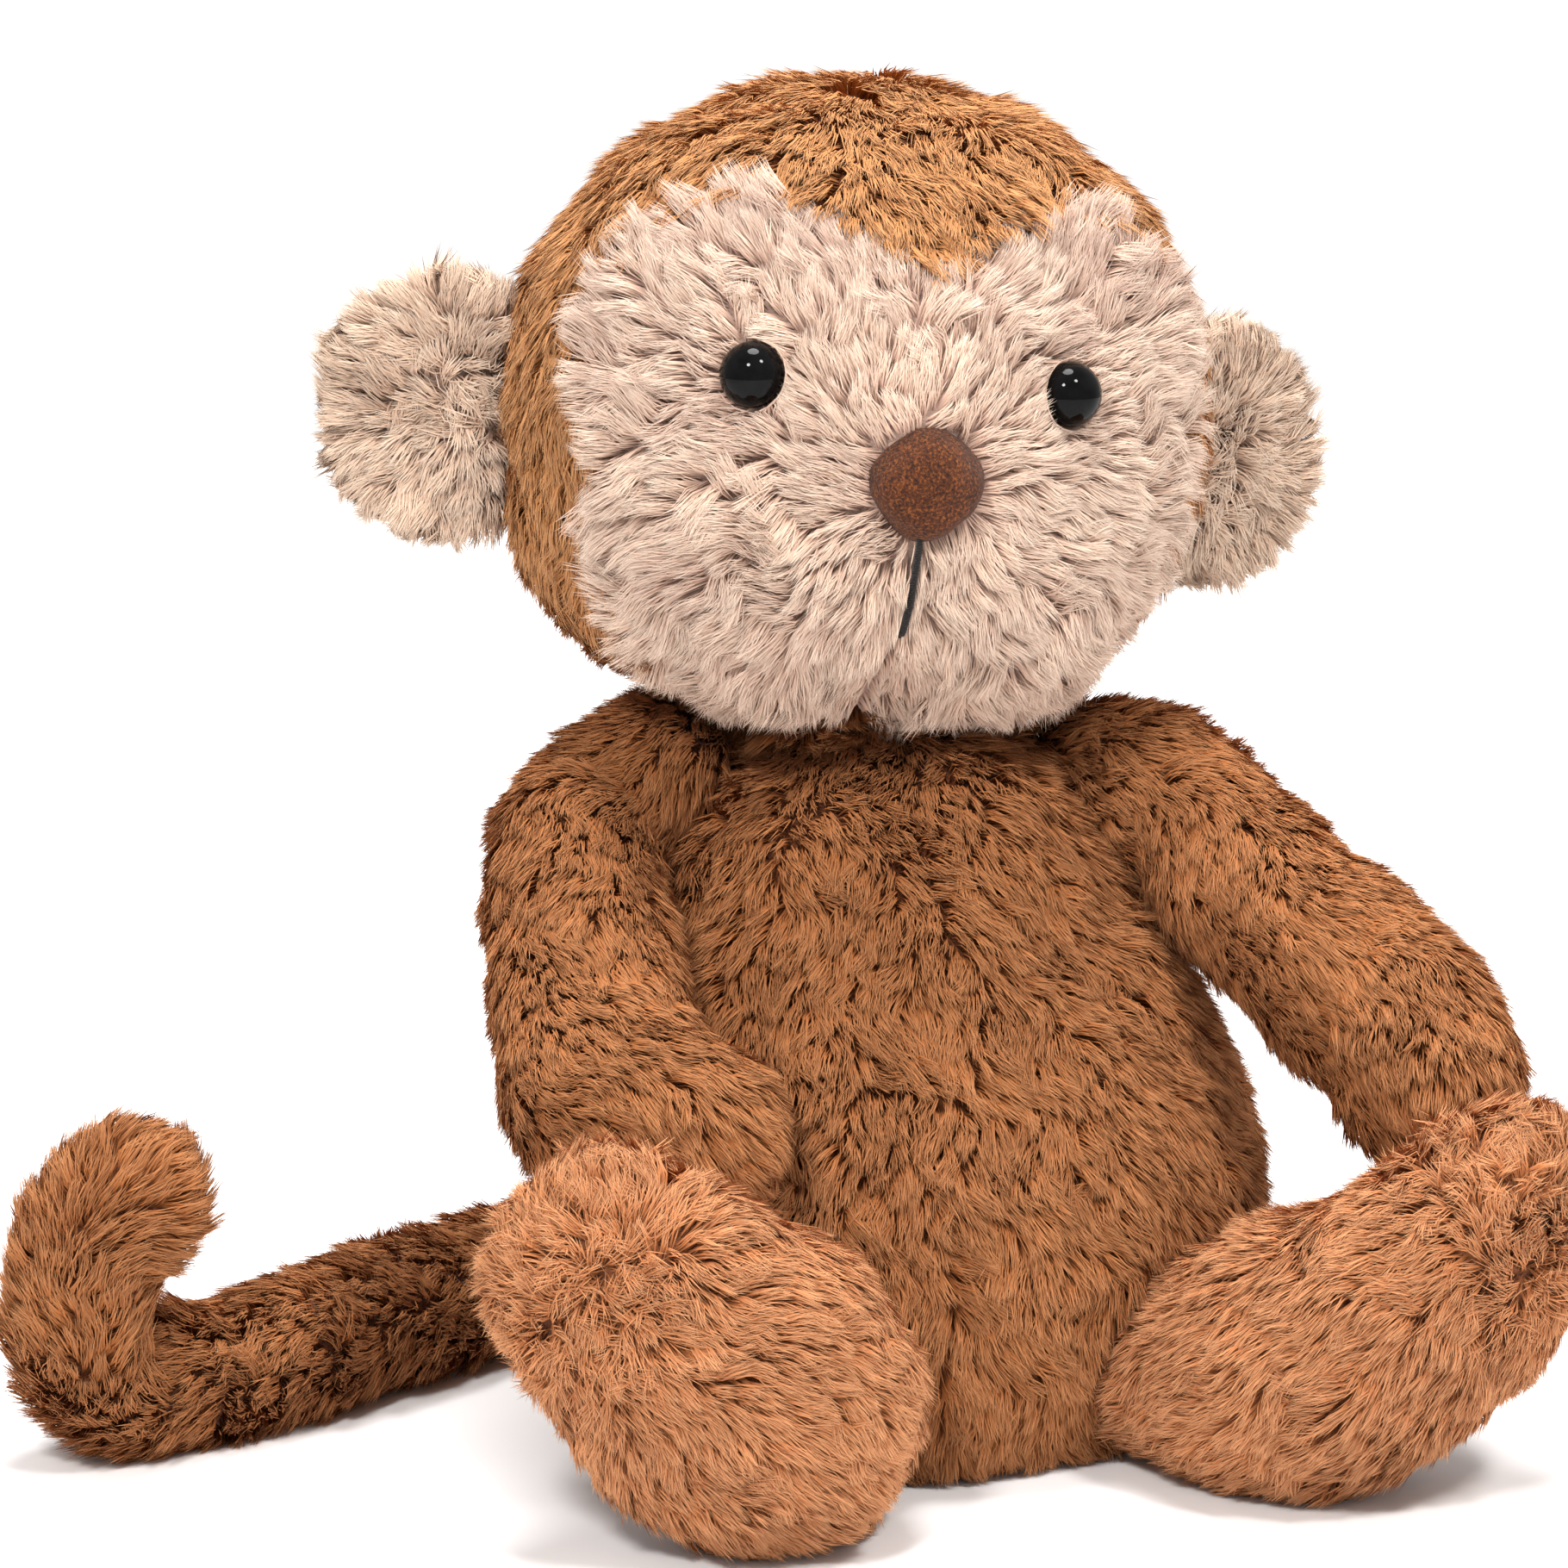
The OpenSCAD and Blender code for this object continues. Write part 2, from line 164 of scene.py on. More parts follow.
class Shader:
    """A node material with one principled surface, built up socket by socket."""

    def __init__(self, name: str, roughness: float, **fixed: float) -> None:
        """Make the material.

        Args:
            name: Name of the material.
            roughness: Roughness where no node sets it.
            **fixed: Other inputs of the surface, with spaces written as underscores.
        """
        self.material = bpy.data.materials.new(name)
        self.material.use_nodes = True
        self.tree = self.material.node_tree
        self.surface = next(n for n in self.tree.nodes if n.type == "BSDF_PRINCIPLED")
        self.surface.inputs["Roughness"].default_value = roughness
        for key, value in fixed.items():
            self.surface.inputs[key.replace("_", " ")].default_value = value

    def node(self, kind: str, inputs: dict | None = None, **settings: str) -> bpy.types.Node:
        """Add a node.

        Args:
            kind: Node type without its ShaderNode prefix.
            inputs: Value, or socket to link, for each of its inputs.
            **settings: Its properties.

        Returns:
            The node.
        """
        made = self.tree.nodes.new("ShaderNode" + kind)
        for key, value in settings.items():
            setattr(made, key, value)
        for key, value in (inputs or {}).items():
            if isinstance(value, Socket):
                self.tree.links.new(value, made.inputs[key])
            else:
                made.inputs[key].default_value = value
        return made

    def feed(self, name: str, source: Socket) -> None:
        """Link a socket to an input of the surface."""
        self.tree.links.new(source, self.surface.inputs[name])

    def noise(self, scale: float, detail: float = 2.0, roughness: float = 0.5) -> Socket:
        """A noise over the piece: waves in a metre, octaves and strength of the finer ones."""
        inputs = {"Vector": self.node("TexCoord").outputs["Object"], "Scale": scale, "Detail": detail}
        return self.node("TexNoise", {**inputs, "Roughness": roughness}).outputs["Fac"]

    def ramp(self, value: Socket, stops: Sequence[tuple[float, Rgb]]) -> Socket:
        """Colours along a value.

        Args:
            value: Socket with the value.
            stops: Pairs of position and colour.

        Returns:
            The colour's socket.
        """
        made = self.node("ValToRGB", {"Fac": value})
        elements = made.color_ramp.elements
        while len(elements) > 1:
            elements.remove(elements[-1])
        elements[0].position, elements[0].color = stops[0][0], (*stops[0][1], 1)
        for position, colour in stops[1:]:
            elements.new(position).color = (*colour, 1)
        return made.outputs["Color"]

    def product(self, a: Socket, b: Socket) -> Socket:
        """Two colours multiplied."""
        colours = {"Factor": 1.0, 6: a, 7: b}
        return self.node("Mix", colours, data_type="RGBA", blend_type="MULTIPLY").outputs[2]

    def levels(self, value: Socket, low: float, high: float) -> Socket:
        """A value spread from 0..1 to low..high."""
        return self.node("MapRange", {"To Min": low, "To Max": high, "Value": value}).outputs["Result"]

    def bump(self, value: Socket, height: float, strength: float) -> None:
        """Raise the surface by a height in metres where a value is 1."""
        made = self.node("Bump", {"Distance": height, "Strength": strength, "Height": value})
        self.feed("Normal", made.outputs["Normal"])


@dataclass(frozen=True)
class PileFinish:
    """Colour of a pile from root to tip, and from its dark tufts to its light ones."""

    name: str
    root: Rgb
    middle: Rgb
    tip: Rgb
    dark: Rgb = (0.72, 0.67, 0.64)
    light: Rgb = (1.16, 1.15, 1.14)

    def material(self) -> Material:
        """Make the pile's material: the map's V runs from root to tip, its U is the tuft's tone."""
        s = Shader(self.name, 0.82, Sheen_Weight=0.35, Sheen_Roughness=0.45, Specular_IOR_Level=0.18)
        s.surface.inputs["Sheen Tint"].default_value = (*self.tip, 1)
        where = s.node("UVMap", uv_map="OFBake").outputs["UV"]
        split = s.node("SeparateXYZ", {"Vector": where})
        # Darker towards the root: partly the pile's own tone and partly painted shade deep in the pile
        # between the tufts.
        length = s.ramp(split.outputs["Y"], [(0.0, self.root), (0.45, self.middle), (1.0, self.tip)])
        tone = s.ramp(split.outputs["X"], [(0.0, self.dark), (0.5, (1.0, 1.0, 1.0)), (1.0, self.light)])
        s.feed("Base Color", s.product(length, tone))
        return s.material


@dataclass(frozen=True)
class GrainFinish:
    """A surface whose grain shows in its colour, roughness and relief."""

    name: str
    stops: tuple[tuple[float, Rgb], ...]
    grain: tuple[float, ...]
    roughness: tuple[float, float, float]
    relief: float
    strength: float = 1.0
    knit: tuple[float, ...] | None = None
    patches: tuple[tuple[float, Rgb], ...] | None = None
    fixed: dict[str, float] = field(default_factory=dict)

    def material(self) -> Material:
        """Make the material."""
        s = Shader(self.name, self.roughness[0], **self.fixed)
        grain = s.noise(*self.grain)
        colour = s.ramp(grain, self.stops)
        if self.patches:
            colour = s.product(colour, s.ramp(s.noise(300), self.patches))
        s.feed("Base Color", colour)
        s.feed("Roughness", s.levels(grain, *self.roughness[1:]))
        s.bump(s.noise(*self.knit) if self.knit else grain, self.relief, self.strength)
        return s.material


def backing(name: str, base: Rgb, deep: Rgb) -> GrainFinish:
    """Knitted backing cloth under a pile."""
    fixed = {"Sheen_Weight": 0.3, "Specular_IOR_Level": 0.15}
    look = {"grain": (260, 3), "roughness": (0.9, 0.82, 0.98), "relief": 0.0004, "knit": (1500, 2, 0.6)}
    return GrainFinish(name, ((0.3, deep), (0.7, base)), fixed=fixed, **look)


def moulded(name: str, base: Rgb, shine: float, gloss: float) -> GrainFinish:
    """Moulded plastic with faint marks in its gloss."""
    paler = tuple(min(1.0, c * 1.25 + 0.002) for c in base)
    roughness = (shine, shine * 0.8, shine * 1.3)
    fixed = {"IOR": 1.5, "Specular_IOR_Level": gloss}
    return GrainFinish(
        name, ((0.35, base), (0.75, paler)), (420, 3), roughness, 0.00002, strength=0.4, fixed=fixed
    )


def yarn(name: str, base: Rgb, pale: Rgb) -> GrainFinish:
    """Twisted thread, with its fibres as fine streaks."""
    fixed = {"Sheen_Weight": 0.2, "Specular_IOR_Level": 0.3}
    look = {"grain": (5200, 3, 0.6), "roughness": (0.7, 0.55, 0.85), "relief": 0.00012}
    return GrainFinish(name, ((0.35, base), (0.7, pale)), fixed=fixed, **look)


def wadding(name: str, base: Rgb, deep: Rgb, grain: float) -> GrainFinish:
    """Loose polyester fibre or a calico pouch."""
    look = {"grain": (grain, 5, 0.7), "roughness": (0.95, 0.85, 1.0), "relief": 0.0008}
    return GrainFinish(name, ((0.3, deep), (0.65, base)), fixed={"Sheen_Weight": 0.4}, **look)


def suede(name: str, base: Rgb, deep: Rgb, pale: Rgb) -> GrainFinish:
    """Brushed suede cloth with a fine nap."""
    fixed = {"Sheen_Weight": 0.08, "Sheen_Roughness": 0.5, "Specular_IOR_Level": 0.2}
    look = {"grain": (2300, 4, 0.65), "roughness": (0.85, 0.75, 0.95), "relief": 0.00035}
    patches = ((0.3, (0.82, 0.82, 0.82)), (0.7, (1.12, 1.1, 1.08)))
    stops = ((0.34, deep), (0.52, base), (0.72, pale))
    return GrainFinish(name, stops, patches=patches, fixed=fixed, **look)


# --------------------------------------------------------------------------- meshes


def add_object(name: str, mesh: Mesh) -> Item:
    """Put a mesh in the scene.

    Args:
        name: Name of the piece.
        mesh: Its mesh.

    Returns:
        The new object.
    """
    made = bpy.data.objects.new(name, mesh)
    bpy.context.scene.collection.objects.link(made)
    return made


def mesh_of(name: str, points: Points, faces: Sequence[Sequence[int]]) -> Item:
    """A smooth mesh from points and faces.

    Args:
        name: Name of the piece.
        points: Its points, in metres.
        faces: Its faces, as point numbers.

    Returns:
        The new object.
    """
    mesh = bpy.data.meshes.new(name)
    mesh.from_pydata([tuple(p) for p in points], [], [tuple(f) for f in faces])
    mesh.validate()
    mesh.shade_smooth()
    return add_object(name, mesh)


def apply_modifiers(piece: Item) -> None:
    """Replace a piece's mesh by what its modifiers make of it."""
    graph = bpy.context.evaluated_depsgraph_get()
    made = bpy.data.meshes.new_from_object(piece.evaluated_get(graph))
    piece.modifiers.clear()
    old = piece.data
    piece.data = made
    bpy.data.meshes.remove(old)


def vertices_of(mesh: Mesh) -> Points:
    """All vertices of a mesh as an array."""
    out = np.empty(len(mesh.vertices) * 3, np.float32)
    mesh.vertices.foreach_get("co", out)
    return out.reshape(-1, 3).astype(float)


def normals_of(mesh: Mesh) -> Points:
    """All vertex normals of a mesh as an array."""
    out = np.empty(len(mesh.vertices) * 3, np.float32)
    mesh.vertex_normals.foreach_get("vector", out)
    return out.reshape(-1, 3).astype(float)


def set_vertices(mesh: Mesh, points: Points) -> None:
    """Move a mesh's vertices."""
    mesh.vertices.foreach_set("co", points.astype(np.float32).ravel())
    mesh.update()


def keep_largest_shell(mesh: Mesh) -> None:
    """Delete every separate shell of a mesh but the one that spans the most."""
    work = bmesh.new()
    work.from_mesh(mesh)
    seen: set[int] = set()
    shells: list[list[bmesh.types.BMVert]] = []
    for start in work.verts:
        if start.index in seen:
            continue
        seen.add(start.index)
        shell, stack = [], [start]
        while stack:
            v = stack.pop()
            shell.append(v)
            for e in v.link_edges:
                w = e.other_vert(v)
                if w.index not in seen:
                    seen.add(w.index)
                    stack.append(w)
        shells.append(shell)
    largest = max(shells, key=lambda s: max(v.co.x for v in s) - min(v.co.x for v in s))
    bmesh.ops.delete(work, geom=[v for s in shells if s is not largest for v in s], context="VERTS")
    work.to_mesh(mesh)
    work.free()


@dataclass(frozen=True)
class SkinCut:
    """How a cloth skin is drawn over the frame's solids."""

    grid: float = 1.8 * MM
    smoothing: int = 8
    lump: float = 0.5 * MM
    lump_size: float = 26 * MM

    def sew(self, name: str, nodes: Sequence[Item], seed: int) -> Item:
        """Sew one closed skin round some solids.

        Args:
            name: Name of the skin.
            nodes: Solids of the frame that it covers.
            seed: Which lumps the stuffing makes.

        Returns:
            The skin.
        """
        work = bmesh.new()
        for node in nodes:
            work.from_mesh(node.data)
        mesh = bpy.data.meshes.new(name)
        work.to_mesh(mesh)
        work.free()
        skin = add_object(name, mesh)
        skin.modifiers.new("grid", "REMESH").voxel_size = self.grid
        smooth = skin.modifiers.new("smooth", "SMOOTH")
        smooth.iterations = self.smoothing
        smooth.factor = 0.5
        apply_modifiers(skin)
        keep_largest_shell(skin.data)
        points = vertices_of(skin.data)
        push = ripple(points, self.lump_size, seed) * self.lump
        set_vertices(skin.data, points + normals_of(skin.data) * push[:, None])
        skin.data.shade_smooth()
        return skin


# --------------------------------------------------------------------------- pile


@dataclass(frozen=True)
class Nap:
    """How a pile grows: length, density, angles in degrees, tufts and locks, and spread of tone."""

    length: float = 8.0 * MM
    unevenness: float = 0.17
    density: float = 5.0
    tuft: float = 1.5 * MM
    gather: float = 0.55
    lock: float = 3.6 * MM
    lock_gather: float = 0.5
    dome: float = 0.3
    rise: float = 58.0
    fall: float = 12.0
    heading: float = 24.0
    width: float = 0.25 * MM
    swirl: float = 20.0
    swirl_size: float = 16 * MM
    rise_spread: float = 9.0
    rise_sway: float = 8.0
    lock_tone: float = 0.07
    tuft_tone: float = 0.07
    strand_tone: float = 0.12


@dataclass
class Growth:
    """Points of growing pile: roots, normals, headings, lengths and rises."""

    root: Points
    normal: Points
    heading: Points
    length: np.ndarray
    rise: np.ndarray

    def strand(self, nap: Nap) -> tuple[Points, Points]:
        """Middle and tip of each strand.

        Args:
            nap: The pile's habit.

        Returns:
            The middles and the tips.
        """
        first = np.radians(self.rise)[:, None]
        last = np.radians(self.rise - nap.rise + nap.fall)[:, None]
        half = self.length[:, None] / 2
        middle = self.root + half * (self.heading * np.cos(first) + self.normal * np.sin(first))
        tip = middle + half * (self.heading * np.cos(last) + self.normal * np.sin(last))
        return middle, tip

    def follow(self, leader: Growth, owner: np.ndarray, share: float) -> None:
        """Take after a coarser growth.

        Args:
            leader: The coarser growth.
            owner: Which point of it each of these follows.
            share: How closely.
        """
        self.heading = unit(self.heading * (1 - share) + leader.heading[owner] * share)
        self.length = self.length * (1 - share) + leader.length[owner] * share
        self.rise = self.rise * (1 - share) + leader.rise[owner] * share


class Cloth:
    """A skin as a place to grow pile on."""

    def __init__(self, skin: Item) -> None:
        """Read the skin's triangles.

        Args:
            skin: The skin.
        """
        mesh = skin.data
        mesh.calc_loop_triangles()
        corners = np.empty(len(mesh.loop_triangles) * 3, np.int32)
        mesh.loop_triangles.foreach_get("vertices", corners)
        self.corners = corners.reshape(-1, 3)
        self.points = vertices_of(mesh)
        self.normals = normals_of(mesh)
        a, b, c = (self.points[self.corners[:, k]] for k in range(3))
        self.areas = np.linalg.norm(np.cross(b - a, c - a), axis=1) / 2

    def scatter(self, rng: np.random.Generator, per_mm2: float, keep: Weight) -> tuple[Points, Points]:
        """Random places on the skin.

        Args:
            rng: Source of randomness.
            per_mm2: Places on each square millimetre.
            keep: Share of places that are kept at each point.

        Returns:
            The places and their normals.
        """
        count = int(self.areas.sum() / MM**2 * per_mm2)
        chosen = rng.choice(len(self.areas), count, p=self.areas / self.areas.sum())
        u, v = rng.random(count), rng.random(count)
        flip = u + v > 1
        u[flip], v[flip] = 1 - u[flip], 1 - v[flip]
        mix = np.stack([1 - u - v, u, v], 1)[:, :, None]
        places = (self.points[self.corners[chosen]] * mix).sum(1)
        normals = unit((self.normals[self.corners[chosen]] * mix).sum(1))
        kept = rng.random(count) < keep(places)
        return places[kept], normals[kept]


def nearest(targets: Points, points: Points) -> np.ndarray:
    """Which of the targets is nearest to each point.

    Args:
        targets: Places to choose from.
        points: Points that choose.

    Returns:
        The number of the chosen target for each point.
    """
    tree = KDTree(len(targets))
    for k, p in enumerate(targets):
        tree.insert(p, k)
    tree.balance()
    return np.fromiter((tree.find(p)[1] for p in points), np.int64, len(points))


def everywhere(points: Points) -> np.ndarray:
    """Weight 1 at every point."""
    return np.ones(len(points))


@dataclass
class Pile:
    """A field of pile on one skin, gathered in tufts."""

    name: str
    nap: Nap
    finish: Material
    comb: Comb
    seed: int
    keep: Weight = everywhere
    trim: Weight = everywhere
    tone: Weight = lambda p: np.full(len(p), 0.5)
    ruffle: Weight = lambda p: np.zeros(len(p))
    part: Callable[[Points, Points, Points], tuple[Points, Points]] | None = None
    floor: float = 0.3 * MM

    def _grow(self, rng: np.random.Generator, places: Points, normals: Points, loose: float) -> Growth:
        """Give places their headings and lengths.

        Args:
            rng: Source of randomness.
            places: Roots.
            normals: Surface normals at the roots.
            loose: Share of the nap's spread that each gets.

        Returns:
            The growth.
        """
        nap, count = self.nap, len(places)
        flow = along_surface(self.comb(places, normals), normals)
        turn = rng.normal(size=count) * (nap.heading + self.ruffle(places)) * loose
        turn += ripple(places, nap.swirl_size, self.seed) * nap.swirl
        flow = turned(flow, normals, np.radians(turn))
        length = nap.length * (1 + rng.normal(size=count) * nap.unevenness * loose) * self.trim(places)
        rise = nap.rise + rng.normal(size=count) * nap.rise_spread * loose
        rise += ripple(places, nap.swirl_size, self.seed + 50) * nap.rise_sway
        return Growth(places, normals, flow, np.maximum(length, nap.length * 0.2), np.clip(rise, 12, 85))

    def _centres(self, cloth: Cloth, rng: np.random.Generator, spacing: float) -> tuple[Points, Points]:
        """Uneven centres for tufts or locks.

        Args:
            cloth: Skin to place them on.
            rng: Source of randomness.
            spacing: Rough distance between them.

        Returns:
            The centres and their normals.
        """
        seeds, normals = cloth.scatter(rng, 2.2 / (spacing / MM) ** 2, self.keep)
        cell = np.floor(seeds / (spacing * 0.9)).astype(np.int64)
        first = np.unique(cell @ np.array([73856093, 19349663, 83492791]), return_index=True)[1]
        return seeds[first], normals[first]

    def grow(self, cloth: Cloth) -> Item:
        """Grow the pile.

        Args:
            cloth: Skin to grow it on.

        Returns:
            The pile as one mesh of fine blades.
        """
        nap, rng = self.nap, np.random.default_rng(self.seed)
        places, normals = cloth.scatter(rng, nap.density, self.keep)
        locks = self._grow(rng, *self._centres(cloth, rng, nap.lock), 1.0)
        tufts = self._grow(rng, *self._centres(cloth, rng, nap.tuft), 0.9)
        strands = self._grow(rng, places, normals, 0.6)
        lock_of = nearest(locks.root, tufts.root)
        tufts.follow(locks, lock_of, 0.5)
        owner = nearest(tufts.root, places)
        strands.follow(tufts, owner, 0.55)
        off = np.linalg.norm(places - locks.root[lock_of[owner]], axis=1) / (nap.lock * 0.6)
        strands.length *= 1 - nap.dome * np.clip(off, 0, 1.2) ** 2
        lock_middle, lock_tip = locks.strand(nap)
        tuft_middle, tuft_tip = tufts.strand(nap)
        tuft_middle += (lock_middle[lock_of] - tuft_middle) * nap.lock_gather * 0.5
        tuft_tip += (lock_tip[lock_of] - tuft_tip) * nap.lock_gather
        middle, tip = strands.strand(nap)
        gather = nap.gather * np.clip(rng.normal(1, 0.25, len(places)), 0.1, 1.25)[:, None]
        middle += (tuft_middle[owner] - middle) * gather * 0.6
        tip += (tuft_tip[owner] - tip) * gather
        tip += rng.normal(size=tip.shape) * nap.length * 0.05
        if self.part is not None:
            middle, tip = self.part(places, middle, tip)
        for line in (middle, tip):
            line[:, 2] = np.maximum(line[:, 2], self.floor)
        tone = self.tone(places) + rng.normal(size=len(locks.root))[lock_of[owner]] * nap.lock_tone
        tone += rng.normal(size=len(tufts.root))[owner] * nap.tuft_tone
        tone += rng.normal(size=len(places)) * nap.strand_tone
        heart, tone = tuft_middle[owner], np.clip(tone, 0.02, 0.97)
        return self._blades(rng, places, middle, tip, normals, heart, tone)

    def _blades(
        self,
        rng: np.random.Generator,
        root: Points,
        middle: Points,
        tip: Points,
        normal: Points,
        heart: Points,
        tone: np.ndarray,
    ) -> Item:
        """Make a pointed blade along each strand.

        Args:
            rng: Source of randomness.
            root: Roots.
            middle: Middles.
            tip: Tips.
            normal: Surface normals at the roots.
            heart: Middle of each strand's tuft.
            tone: Tone of each strand, from 0 to 1.

        Returns:
            The blades as one mesh.
        """
        count = len(root)
        facing = unit(normal + unit(rng.normal(size=root.shape)) * 0.75)
        across = unit(np.cross(tip - root, facing)) * self.nap.width / 2
        size = rng.uniform(0.75, 1.2, count)[:, None]
        half = across * size
        rows = np.stack([root - across, root + across, middle - half, middle + half, tip], 1)
        mesh = bpy.data.meshes.new(self.name)
        mesh.vertices.add(count * 5)
        mesh.vertices.foreach_set("co", rows.astype(np.float32).ravel())
        base = np.arange(count)[:, None] * 5
        loops = np.concatenate([base + np.array([0, 1, 3, 2]), base + np.array([2, 3, 4])], 1).ravel()
        starts = (np.arange(count)[:, None] * 7 + np.array([0, 4])).ravel()
        mesh.loops.add(len(loops))
        mesh.loops.foreach_set("vertex_index", loops.astype(np.int32))
        mesh.polygons.add(len(starts))
        mesh.polygons.foreach_set("loop_start", starts.astype(np.int32))
        mesh.update(calc_edges=True)
        mesh.shade_smooth()
        u = np.stack([tone, tone + 0.02], 1)
        low, mid, high = 0.01, 0.5, 0.99
        flat = np.stack([u[:, 0], u[:, 1], u[:, 1], u[:, 0], u[:, 0], u[:, 1], u.mean(1)], 1)
        rise = np.broadcast_to(np.array([low, low, mid, mid, mid, mid, high]), flat.shape)
        layer = mesh.uv_layers.new(name="OFBake")
        layer.data.foreach_set("uv", np.stack([flat, rise], 2).astype(np.float32).ravel())
        spread = unit(middle - heart + normal * 0.4 * MM)
        blade = unit(np.cross(across, tip - root))
        shade = unit(normal * 0.75 + spread * 0.5 + blade * 0.55)
        mesh.normals_split_custom_set_from_vertices(np.repeat(shade, 5, 0).astype(np.float32))
        mesh.materials.append(self.finish)
        return add_object(self.name, mesh)


def solid_tree(*objects: Item) -> BVHTree:
    """A search tree over some solids' faces."""
    points: list[Vector] = []
    faces: list[list[int]] = []
    for item in objects:
        start = len(points)
        points.extend(v.co for v in item.data.vertices)
        faces.extend([start + k for k in f.vertices] for f in item.data.polygons)
    return BVHTree.FromPolygons(points, faces)


def distance_to(tree: BVHTree, points: Points) -> np.ndarray:
    """How far points are from a solid's surface."""
    return np.fromiter((tree.find_nearest(p)[3] for p in points), float, len(points))


def depth_under(tree: BVHTree, points: Points) -> np.ndarray:
    """How deep points lie under a closed surface; negative outside it."""

    def depth(p: Points) -> float:
        """Depth of one point."""
        place, normal, _, _ = tree.find_nearest(p)
        return -(Vector(p) - place).dot(normal)

    return np.fromiter((depth(p) for p in points), float, len(points))


def split_by(pieces: Sequence[tuple[str, Weight]], base: Weight) -> list[tuple[str, Weight]]:
    """Names and weights of pieces that share one pile out, under a weight that holds for all."""
    return [(name, lambda p, share=share: share(p) * base(p)) for name, share in pieces]


# --------------------------------------------------------------------------- finishes of this toy


def srgb(code: str) -> Rgb:
    """A colour from its six-digit web code."""
    values = [int(code[k : k + 2], 16) / 255 for k in (0, 2, 4)]
    red, green, blue = (v / 12.92 if v <= 0.04045 else ((v + 0.055) / 1.055) ** 2.4 for v in values)
    return red, green, blue


def wardrobe() -> dict[str, Material]:
    """Every finish of the toy, made once and filed by its name."""
    white = (1.12, 1.1, 1.08)
    finishes = (
        PileFinish("body_pile", srgb("764323"), srgb("97592E"), srgb("B88156")),
        # The foot pile is the body pile painted about a quarter lighter: painted light for the extra light
        # that falls on the feet.
        PileFinish("foot_pile_painted_light", srgb("844F2D"), srgb("A9673D"), srgb("CF986D")),
        # The crown pile's dark end is also the colour of its painted shade at the sides of the head.
        PileFinish("crown_pile", srgb("A0673F"), srgb("B07645"), srgb("C59468"), (0.8, 0.77, 0.74)),
        # The face pile's pinkish dark end is the colour of its painted shade as well as of its darker tufts.
        PileFinish("face_pile", srgb("AA887A"), srgb("CEAE99"), srgb("E4D0BE"), (0.78, 0.71, 0.71), white),
        PileFinish("ear_pile", srgb("8E7262"), srgb("C4A58E"), srgb("DECAB6"), (0.7, 0.65, 0.62), white),
        backing("body_cloth", srgb("8A5230"), srgb("5C341E")),
        backing("crown_cloth", srgb("96582C"), srgb("663A1C")),
        backing("face_cloth", srgb("B49A8A"), srgb("8F766A")),
        backing("ear_cloth", srgb("A48C7C"), srgb("7E685C")),
        suede("nose_suede", srgb("502810"), srgb("200C03"), srgb("8E5226")),
        moulded("eye_gloss", (0.002, 0.0019, 0.002), 0.05, 0.1),
        moulded("washer_white", (0.8, 0.8, 0.78), 0.4, 0.5),
        yarn("mouth_thread", srgb("0C0908"), srgb("1C1512")),
        yarn("seam_thread", srgb("5E3519"), srgb("8C5630")),
        wadding("wadding", srgb("F2EFE8"), srgb("D5D0C6"), 900),
        wadding("calico", srgb("DDD6C6"), srgb("BFB6A2"), 2200),
    )
    return {finish.name: finish.material() for finish in finishes}


# --------------------------------------------------------------------------- the toy


@dataclass
class Workshop:
    """What every sub-assembly needs: the frame, the finishes and the skins sewn so far."""

    frame: dict
    wardrobe: dict[str, Material]
    skins: dict[str, Item] = field(default_factory=dict)

    def nodes(self, *names: str) -> list[Item]:
        """Solids of the frame by name."""
        return [self.frame["nodes"][n] for n in names]

    def dress(self, material: Material, *names: str) -> None:
        """Give solids of the frame a material.

        Args:
            material: The material.
            *names: The solids.
        """
        for node in self.nodes(*names):
            node.data.materials.clear()
            node.data.materials.append(material)

    def settle(self, piece: Item, body: str, slot: str, *replaced: str) -> None:
        """Fix a piece to its body.

        Args:
            piece: The piece.
            body: The body that it rides on.
            slot: The record's material slot. Not used.
            *replaced: Solids that it stands for.
        """
        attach(piece, body)
        if replaced:
            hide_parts(*replaced)
        LOG.info("%s: %d faces on %s", piece.name, len(piece.data.polygons), body)

    def visible(self, *others: str) -> Weight:
        """Weight that is 1 outside the skins of other bodies.

        Args:
            *others: Names of the skins.

        Returns:
            The weight.
        """
        trees = [solid_tree(self.skins[n]) for n in others]

        def weight(points: Points) -> np.ndarray:
            """1 where a point is in the open."""
            deepest = np.max([depth_under(t, points) for t in trees], axis=0)
            return (deepest < HIDDEN_DEPTH).astype(float)

        return weight


